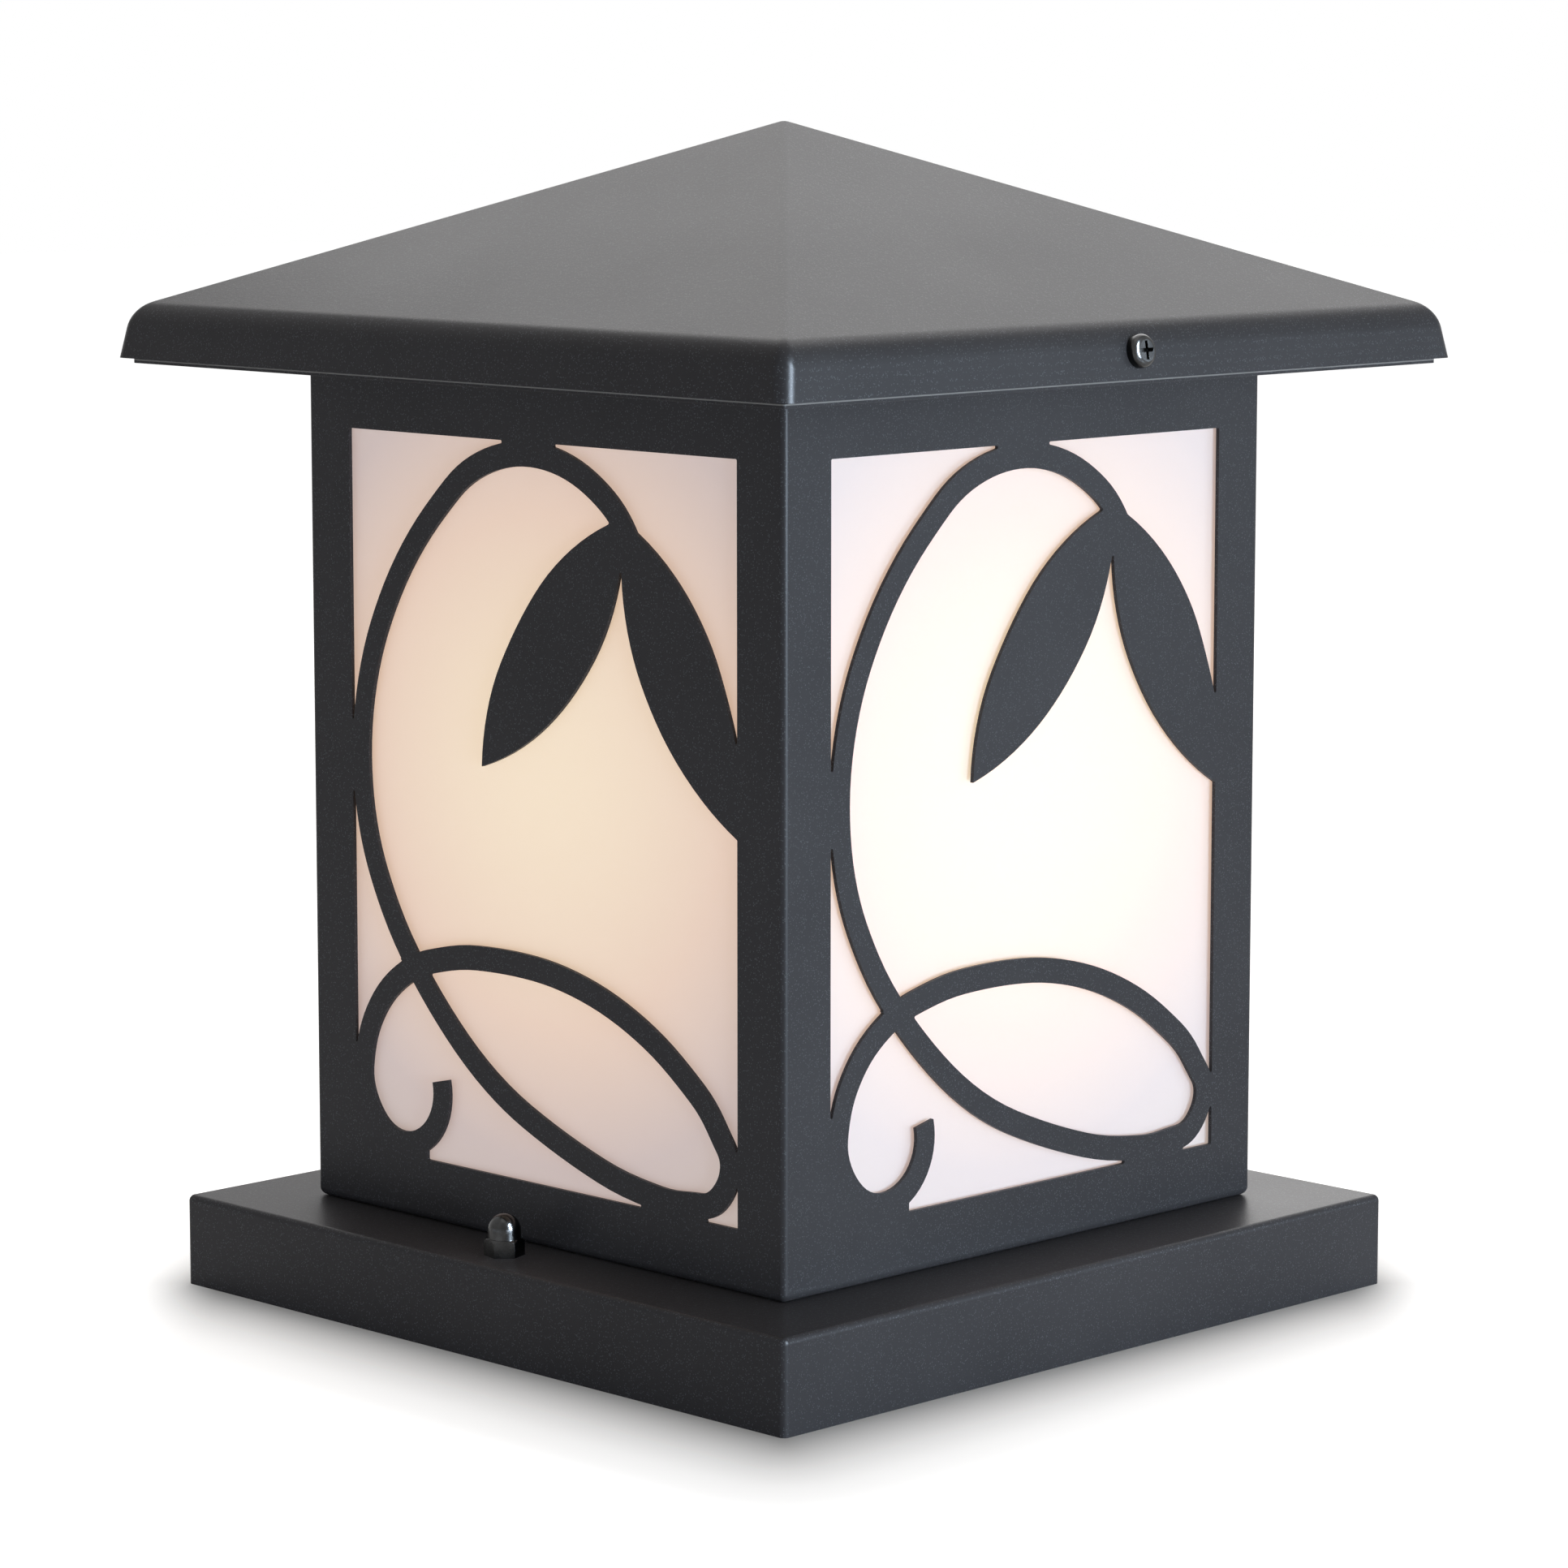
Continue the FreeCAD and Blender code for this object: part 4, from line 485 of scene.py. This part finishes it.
def opal_with_painted_glow():
    """Frosted white acrylic with the bulb's light painted into it as a glow."""
    material, tree, shader = new_material("opal_with_painted_glow")
    place = object_coordinates(tree)
    offset = add_node(tree, "ShaderNodeVectorMath", operation="DISTANCE")
    tree.links.new(place, offset.inputs[0])
    offset.inputs[1].default_value = (globe_low + globe_high) / 2
    # Painted glow: emission that stands in for the bulb's light shining through the panel
    glow = ramp(tree, rescaled(tree, offset.outputs["Value"], GLOW_NEAR, GLOW_FAR), GLOW_STOPS)
    tree.links.new(glow, shader.inputs["Emission Color"])
    set_sockets(shader, Emission_Strength=GLOW_STRENGTH, Base_Color=OPAL_COLOUR)
    set_sockets(shader, Roughness=OPAL_ROUGHNESS, Specular_IOR_Level=OPAL_GLOSS)
    bump(tree, shader, noise(tree, place, FROST_PER_METRE), FROST_STRENGTH, FROST_DEPTH)
    return material


opal = opal_with_painted_glow()

# %% [markdown]
# Small metal parts. The cap nuts, roof screws and rivets are black-plated, glossy and scratched by
# the spanner. Zinc-plated steel and the aluminium of the posts are pale with a faint mottling, and
# brass and nickel are on the lampholder, the earth point and the bulb's cap. One function makes
# them all from a colour, a roughness and the depth of the fine scratches.

# %% Finish: metals
MOTTLES_PER_METRE = 160.0
POLISH_SPREAD = 0.12
SCRATCHES_PER_METRE = 900.0
SCRATCH_STRETCH = (1.0, 1.0, 14.0)
SCRATCH_STRENGTH = 0.4


def metal(name, colour, roughness, scratch_depth=0.01 * MM, mottling=0.12):
    """A metal whose tone and polish vary a little."""
    material, tree, shader = new_material(name)
    place = object_coordinates(tree)
    spots = noise(tree, place, MOTTLES_PER_METRE, detail=4.0, rough=0.6)
    tree.links.new(two_tone(tree, spots, *varied(colour, mottling)), shader.inputs["Base Color"])
    rough = math_node(tree, "MULTIPLY", spots, POLISH_SPREAD)
    rough = math_node(tree, "ADD", rough, roughness - POLISH_SPREAD / 2)
    tree.links.new(rough, shader.inputs["Roughness"])
    set_sockets(shader, Metallic=1.0)
    stretched = add_node(tree, "ShaderNodeMapping")
    set_sockets(stretched, Scale=SCRATCH_STRETCH)
    tree.links.new(place, stretched.inputs["Vector"])
    scratches = noise(tree, stretched.outputs["Vector"], SCRATCHES_PER_METRE)
    bump(tree, shader, scratches, SCRATCH_STRENGTH, scratch_depth)
    return material


black_steel = metal("black_plated_steel", grey(0.040), 0.17, scratch_depth=0.05 * MM, mottling=0.5)
zinc_steel = metal("zinc_plated_steel", (0.56, 0.57, 0.58), 0.38)
aluminium = metal("extruded_aluminium", (0.74, 0.75, 0.76), 0.36, scratch_depth=0.02 * MM, mottling=0.05)
brass = metal("brass", (0.80, 0.60, 0.26), 0.26)
nickel = metal("nickel_plate", (0.74, 0.73, 0.70), 0.24)

# %% [markdown]
# Everything inside the lantern that isn't metal: glazed porcelain, white and black mouldings,
# rubber and the insulation of the brown and the blue lead. They share one recipe too: a colour
# that varies slightly, a gloss and a fine grain.

# %% Finish: mouldings, porcelain and rubber
SHADES_PER_METRE = 60.0
GRAIN_STRENGTH = 0.3
INSULATION_ROUGHNESS = 0.42


def moulding(name, colour, roughness, variation=0.06, grain_depth=0.02 * MM, grains_per_metre=700.0):
    """A moulded or glazed material with slight variation in tone."""
    material, tree, shader = new_material(name)
    place = object_coordinates(tree)
    shades = noise(tree, place, SHADES_PER_METRE, detail=3.0)
    tree.links.new(two_tone(tree, shades, *varied(colour, variation)), shader.inputs["Base Color"])
    set_sockets(shader, Roughness=roughness)
    bump(tree, shader, noise(tree, place, grains_per_metre), GRAIN_STRENGTH, grain_depth)
    return material


porcelain = moulding(
    "glazed_porcelain", (0.82, 0.81, 0.77), 0.14,
    variation=0.03, grain_depth=0.04 * MM, grains_per_metre=120.0,
)
white_plastic = moulding("white_plastic", (0.80, 0.80, 0.78), 0.32)
black_glass = moulding("black_glass", grey(0.012), 0.10)
block_plastic = moulding("natural_polyamide", (0.70, 0.68, 0.62), 0.42, variation=0.04)
rubber = moulding("black_rubber", grey(0.018), 0.62, variation=0.15)
live_brown = moulding("brown_insulation", (0.13, 0.05, 0.02), INSULATION_ROUGHNESS)
neutral_blue = moulding("blue_insulation", (0.02, 0.10, 0.42), INSULATION_ROUGHNESS)

# %% [markdown]
# The earth lead is green with yellow stripes along it. It lies level, so the stripes are layers
# of equal height.

# %% Finish: striped earth insulation
STRIPE_PITCH = 2.4 * MM
GREEN_SHARE = 0.55
EARTH_GREEN = (0.05, 0.26, 0.05)
EARTH_YELLOW = (0.75, 0.62, 0.03)


def striped_insulation():
    """Green insulation with yellow stripes along the lead, which lies level."""
    material, tree, shader = new_material("green_yellow_insulation")
    layer = math_node(tree, "DIVIDE", object_place(tree)["Z"], STRIPE_PITCH)
    share = math_node(tree, "FRACT", layer)
    stripe = math_node(tree, "GREATER_THAN", share, GREEN_SHARE)
    tone = ramp(tree, stripe, [(0.0, EARTH_GREEN), (1.0, EARTH_YELLOW)])
    tree.links.new(tone, shader.inputs["Base Color"])
    set_sockets(shader, Roughness=INSULATION_ROUGHNESS)
    return material


earth_stripes = striped_insulation()

# %% [markdown]
# The lit parts of the bulb: an opal globe that glows warm all over, and under it the board with
# its ring of yellow light-emitting chips, which stand a little higher than the board.

# %% Finish: bulb globe and board
GLOBE_GLOW = 0.9
GLOBE_STOPS = ((0.0, (1.0, 0.66, 0.40)), (0.4, (1.0, 0.84, 0.62)), (1.0, (1.0, 0.90, 0.74)))
GLOBE_COLOUR = (0.82, 0.80, 0.77, 1)
GLOBE_ROUGHNESS = 0.30
CHIP_FACE_DEPTH = 0.5 * MM
BOARD_WHITE = (0.78, 0.78, 0.74)
BOARD_ROUGHNESS = 0.4
CHIP_YELLOW = (0.85, 0.62, 0.05)


def globe_opal():
    """The globe's glow is warmest at its foot, beside the board, and palest at its top."""
    material, tree, shader = new_material("lit_globe")
    height = rescaled(tree, object_place(tree)["Z"], globe_low.z, globe_high.z)
    tree.links.new(ramp(tree, height, GLOBE_STOPS), shader.inputs["Emission Color"])
    set_sockets(shader, Emission_Strength=GLOBE_GLOW, Base_Color=GLOBE_COLOUR, Roughness=GLOBE_ROUGHNESS)
    return material


def led_board():
    """White board, yellow chips above its face."""
    material, tree, shader = new_material("led_board")
    chip_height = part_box("bulb_led_plate")[1].z - CHIP_FACE_DEPTH
    chip = math_node(tree, "GREATER_THAN", object_place(tree)["Z"], chip_height)
    tree.links.new(mixed(tree, chip, BOARD_WHITE, CHIP_YELLOW), shader.inputs["Base Color"])
    set_sockets(shader, Roughness=BOARD_ROUGHNESS)
    return material


lit_globe = globe_opal()
board = led_board()

# %% [markdown]
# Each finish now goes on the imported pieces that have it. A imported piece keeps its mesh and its
# place, and only the material in its slots changes.

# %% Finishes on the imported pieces
FINISHES = (
    (coat, ("soffit_tray", "roof_upstand", "base_tray", "body_front", "body_rear", "roof_cap")),
    (black_steel, ("acorn_nuts", "roof_screws", "base_rivets", "tray_rivets")),
    (zinc_steel, (
        "mounting_bar", "mounting_studs", "roof_nuts", "lamp_bracket", "bracket_screws", "bracket_nuts",
        "terminal_block_screws", "terminal_screws", "lampholder_screws", "earth_stud",
    )),
    (aluminium, ("corner_post_front", "corner_post_right", "corner_post_back", "corner_post_left")),
    (opal, ("diffuser_front", "diffuser_right", "diffuser_back", "diffuser_left")),
    (brass, ("lampholder_shell", "lampholder_contact", "bulb_tip", "earth_nuts", "earth_lug")),
    (nickel, ("bulb_cap",)),
    (porcelain, ("lampholder_body",)),
    (white_plastic, ("bulb_housing",)),
    (black_glass, ("bulb_insulator",)),
    (block_plastic, ("terminal_block",)),
    (rubber, ("cable_grommet",)),
    (live_brown, ("live_wire",)),
    (neutral_blue, ("neutral_wire",)),
    (earth_stripes, ("earth_wire",)),
    (lit_globe, ("bulb_globe",)),
    (board, ("bulb_led_plate",)),
)
finished = 0
for finish, names in FINISHES:
    for name in names:
        for slot in nodes[name].material_slots:
            slot.material = finish
    finished += len(names)
print("finished", finished, "of", len(nodes), "packed pieces")

# %% [markdown]
# The coat is about a tenth of a millimetre thick and draws back round every edge, so a cut sheet
# never ends in a razor edge: a narrow rounded rim catches the light all along the vine and the
# window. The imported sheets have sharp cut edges, so each is copied, its loose triangles are
# merged, and a narrow bevel follows every sharp edge. The two cap nuts end up turned as a spanner
# leaves them, each by its own angle.

# %% Coated sheets with rounded rims
RIM_WIDTH = 0.25 * MM
NUT_RIM_WIDTH = 0.15 * MM
RIM_SEGMENTS = 2
MERGE_DISTANCE = 0.002 * MM
FLAT_ANGLE = math.radians(0.5)
SHARP_ANGLE = math.radians(35)
SMOOTH_ANGLE = math.radians(32)
LARGE_FACE_WEIGHT = 100
FRONT_NUT_TURN = math.radians(-12)
BACK_NUT_TURN = math.radians(20)


def only(piece):
    """Selects one object and makes it the active one."""
    bpy.ops.object.select_all(action="DESELECT")
    piece.select_set(True)
    bpy.context.view_layer.objects.active = piece


def in_edit_mode(piece):
    """Opens a piece for editing with everything in it selected."""
    only(piece)
    bpy.ops.object.mode_set(mode="EDIT")
    bpy.ops.mesh.select_all(action="SELECT")


def copy_of(node, name):
    """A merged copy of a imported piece's mesh, as a new object at the origin."""
    piece = bpy.data.objects.new(name, nodes[node].data.copy())
    bpy.context.scene.collection.objects.link(piece)
    in_edit_mode(piece)
    bpy.ops.mesh.remove_doubles(threshold=MERGE_DISTANCE)
    bpy.ops.mesh.dissolve_limited(angle_limit=FLAT_ANGLE)
    bpy.ops.object.mode_set(mode="OBJECT")
    return piece


def rounded_rim(piece, width, segments=RIM_SEGMENTS):
    """A narrow round bevel along every sharp edge, applied."""
    only(piece)
    bevel = piece.modifiers.new("rim", "BEVEL")
    bevel.width = width
    bevel.segments = segments
    bevel.limit_method = "ANGLE"
    bevel.angle_limit = SHARP_ANGLE
    bevel.use_clamp_overlap = True
    bpy.ops.object.modifier_apply(modifier="rim")
    bpy.ops.object.shade_smooth_by_angle(angle=SMOOTH_ANGLE)
    flatten = piece.modifiers.new("flat_faces", "WEIGHTED_NORMAL")
    flatten.weight = LARGE_FACE_WEIGHT
    flatten.keep_sharp = True
    bpy.ops.object.modifier_apply(modifier="flat_faces")


def rimmed(node, name, body, finish, width=RIM_WIDTH):
    """A copy with rounded rims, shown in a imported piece's place."""
    piece = copy_of(node, name)
    rounded_rim(piece, width)
    piece.data.materials.clear()
    piece.data.materials.append(finish)
    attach(piece, body)
    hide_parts(node)
    print(name, "faces", len(piece.data.polygons))
    return piece


def turn_nut(nuts, side, angle):
    """Turns the cap nut on one side of the lantern about its own stud."""
    own = [vertex for vertex in nuts.data.vertices if vertex.co.y * side > 0]
    along = [vertex.co.y for vertex in own]
    stud = Vector((0, (min(along) + max(along)) / 2, 0))
    turn = Matrix.Translation(stud) @ Matrix.Rotation(angle, 4, "Z") @ Matrix.Translation(-stud)
    for vertex in own:
        vertex.co = turn @ vertex.co


rimmed("body_front", "coated_body_front", "root", coat)
rimmed("body_rear", "coated_body_rear", "root", coat)
rimmed("base_tray", "coated_base_tray", "root", coat)
rimmed("soffit_tray", "coated_soffit_tray", "root", tray_coat_with_highlight)
rimmed("roof_cap", "coated_roof", "roof", coat)
cap_nuts = rimmed("acorn_nuts", "plated_acorn_nuts", "root", black_steel, NUT_RIM_WIDTH)
rimmed("roof_screws", "plated_roof_screws", "roof", black_steel, NUT_RIM_WIDTH)
turn_nut(cap_nuts, -1, FRONT_NUT_TURN)
turn_nut(cap_nuts, 1, BACK_NUT_TURN)

# %% [markdown]
# The bulb's cap is thin nickel-plated sheet with a rolled thread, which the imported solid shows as
# a plain cup. It is modelled here in three shapes: a core with rounded ends, a collar that grips
# the white housing, and a round bead that climbs round the core at the pitch of a 27 mm cap.

# %% Threaded cap of the bulb
THREAD_PITCH = 3.62 * MM
THREAD_TURNS = 3
BEAD_RADIUS = 0.9 * MM
BEAD_SIDES = 12
BEAD_START = 3.4 * MM
CAP_STEPS = 64
COLLAR_HEIGHT = 2.6 * MM
CAP_ROUNDING = 0.5 * MM
CAP_SEGMENTS = 3
cap_low, cap_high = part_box("bulb_cap")
cap_radius = cap_high.x
core_radius = cap_radius - BEAD_RADIUS


def drum(name, radius, low, high):
    """A round drum between two heights, with rounded ends."""
    bpy.ops.object.select_all(action="DESELECT")
    bpy.ops.mesh.primitive_cylinder_add(vertices=CAP_STEPS, radius=radius, depth=high - low)
    piece = bpy.context.object
    piece.name = name
    in_edit_mode(piece)
    bpy.ops.transform.translate(value=(0, 0, (low + high) / 2))
    bpy.ops.object.mode_set(mode="OBJECT")
    rounded_rim(piece, CAP_ROUNDING, CAP_SEGMENTS)
    return piece


def thread_bead(name, path_radius, low):
    """A round bead that climbs round the z axis, closed at both ends."""
    bpy.ops.object.select_all(action="DESELECT")
    bpy.ops.mesh.primitive_circle_add(vertices=BEAD_SIDES, radius=BEAD_RADIUS)
    piece = bpy.context.object
    piece.name = name
    in_edit_mode(piece)
    bpy.ops.transform.rotate(value=math.pi / 2, orient_axis="X", center_override=(0, 0, 0))
    bpy.ops.transform.translate(value=(path_radius, 0, low))
    bpy.ops.object.mode_set(mode="OBJECT")
    winding = piece.modifiers.new("winding", "SCREW")
    winding.axis = "Z"
    winding.screw_offset = THREAD_PITCH
    winding.iterations = THREAD_TURNS
    winding.steps = CAP_STEPS
    winding.render_steps = CAP_STEPS
    bpy.ops.object.modifier_apply(modifier="winding")
    in_edit_mode(piece)
    bpy.ops.mesh.fill_holes(sides=0)
    bpy.ops.mesh.normals_make_consistent(inside=False)
    bpy.ops.object.mode_set(mode="OBJECT")
    bpy.ops.object.shade_smooth_by_angle(angle=SMOOTH_ANGLE)
    return piece


core = drum("threaded_bulb_cap", core_radius, cap_low.z, cap_high.z)
collar = drum("cap_collar", cap_radius, cap_high.z - COLLAR_HEIGHT, cap_high.z)
bead = thread_bead("cap_bead", core_radius, cap_low.z + BEAD_START)
only(core)
collar.select_set(True)
bead.select_set(True)
bpy.ops.object.join()
core.data.materials.clear()
core.data.materials.append(nickel)
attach(core, "bulb")
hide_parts("bulb_cap")
print("threaded cap", len(core.data.polygons), "faces")
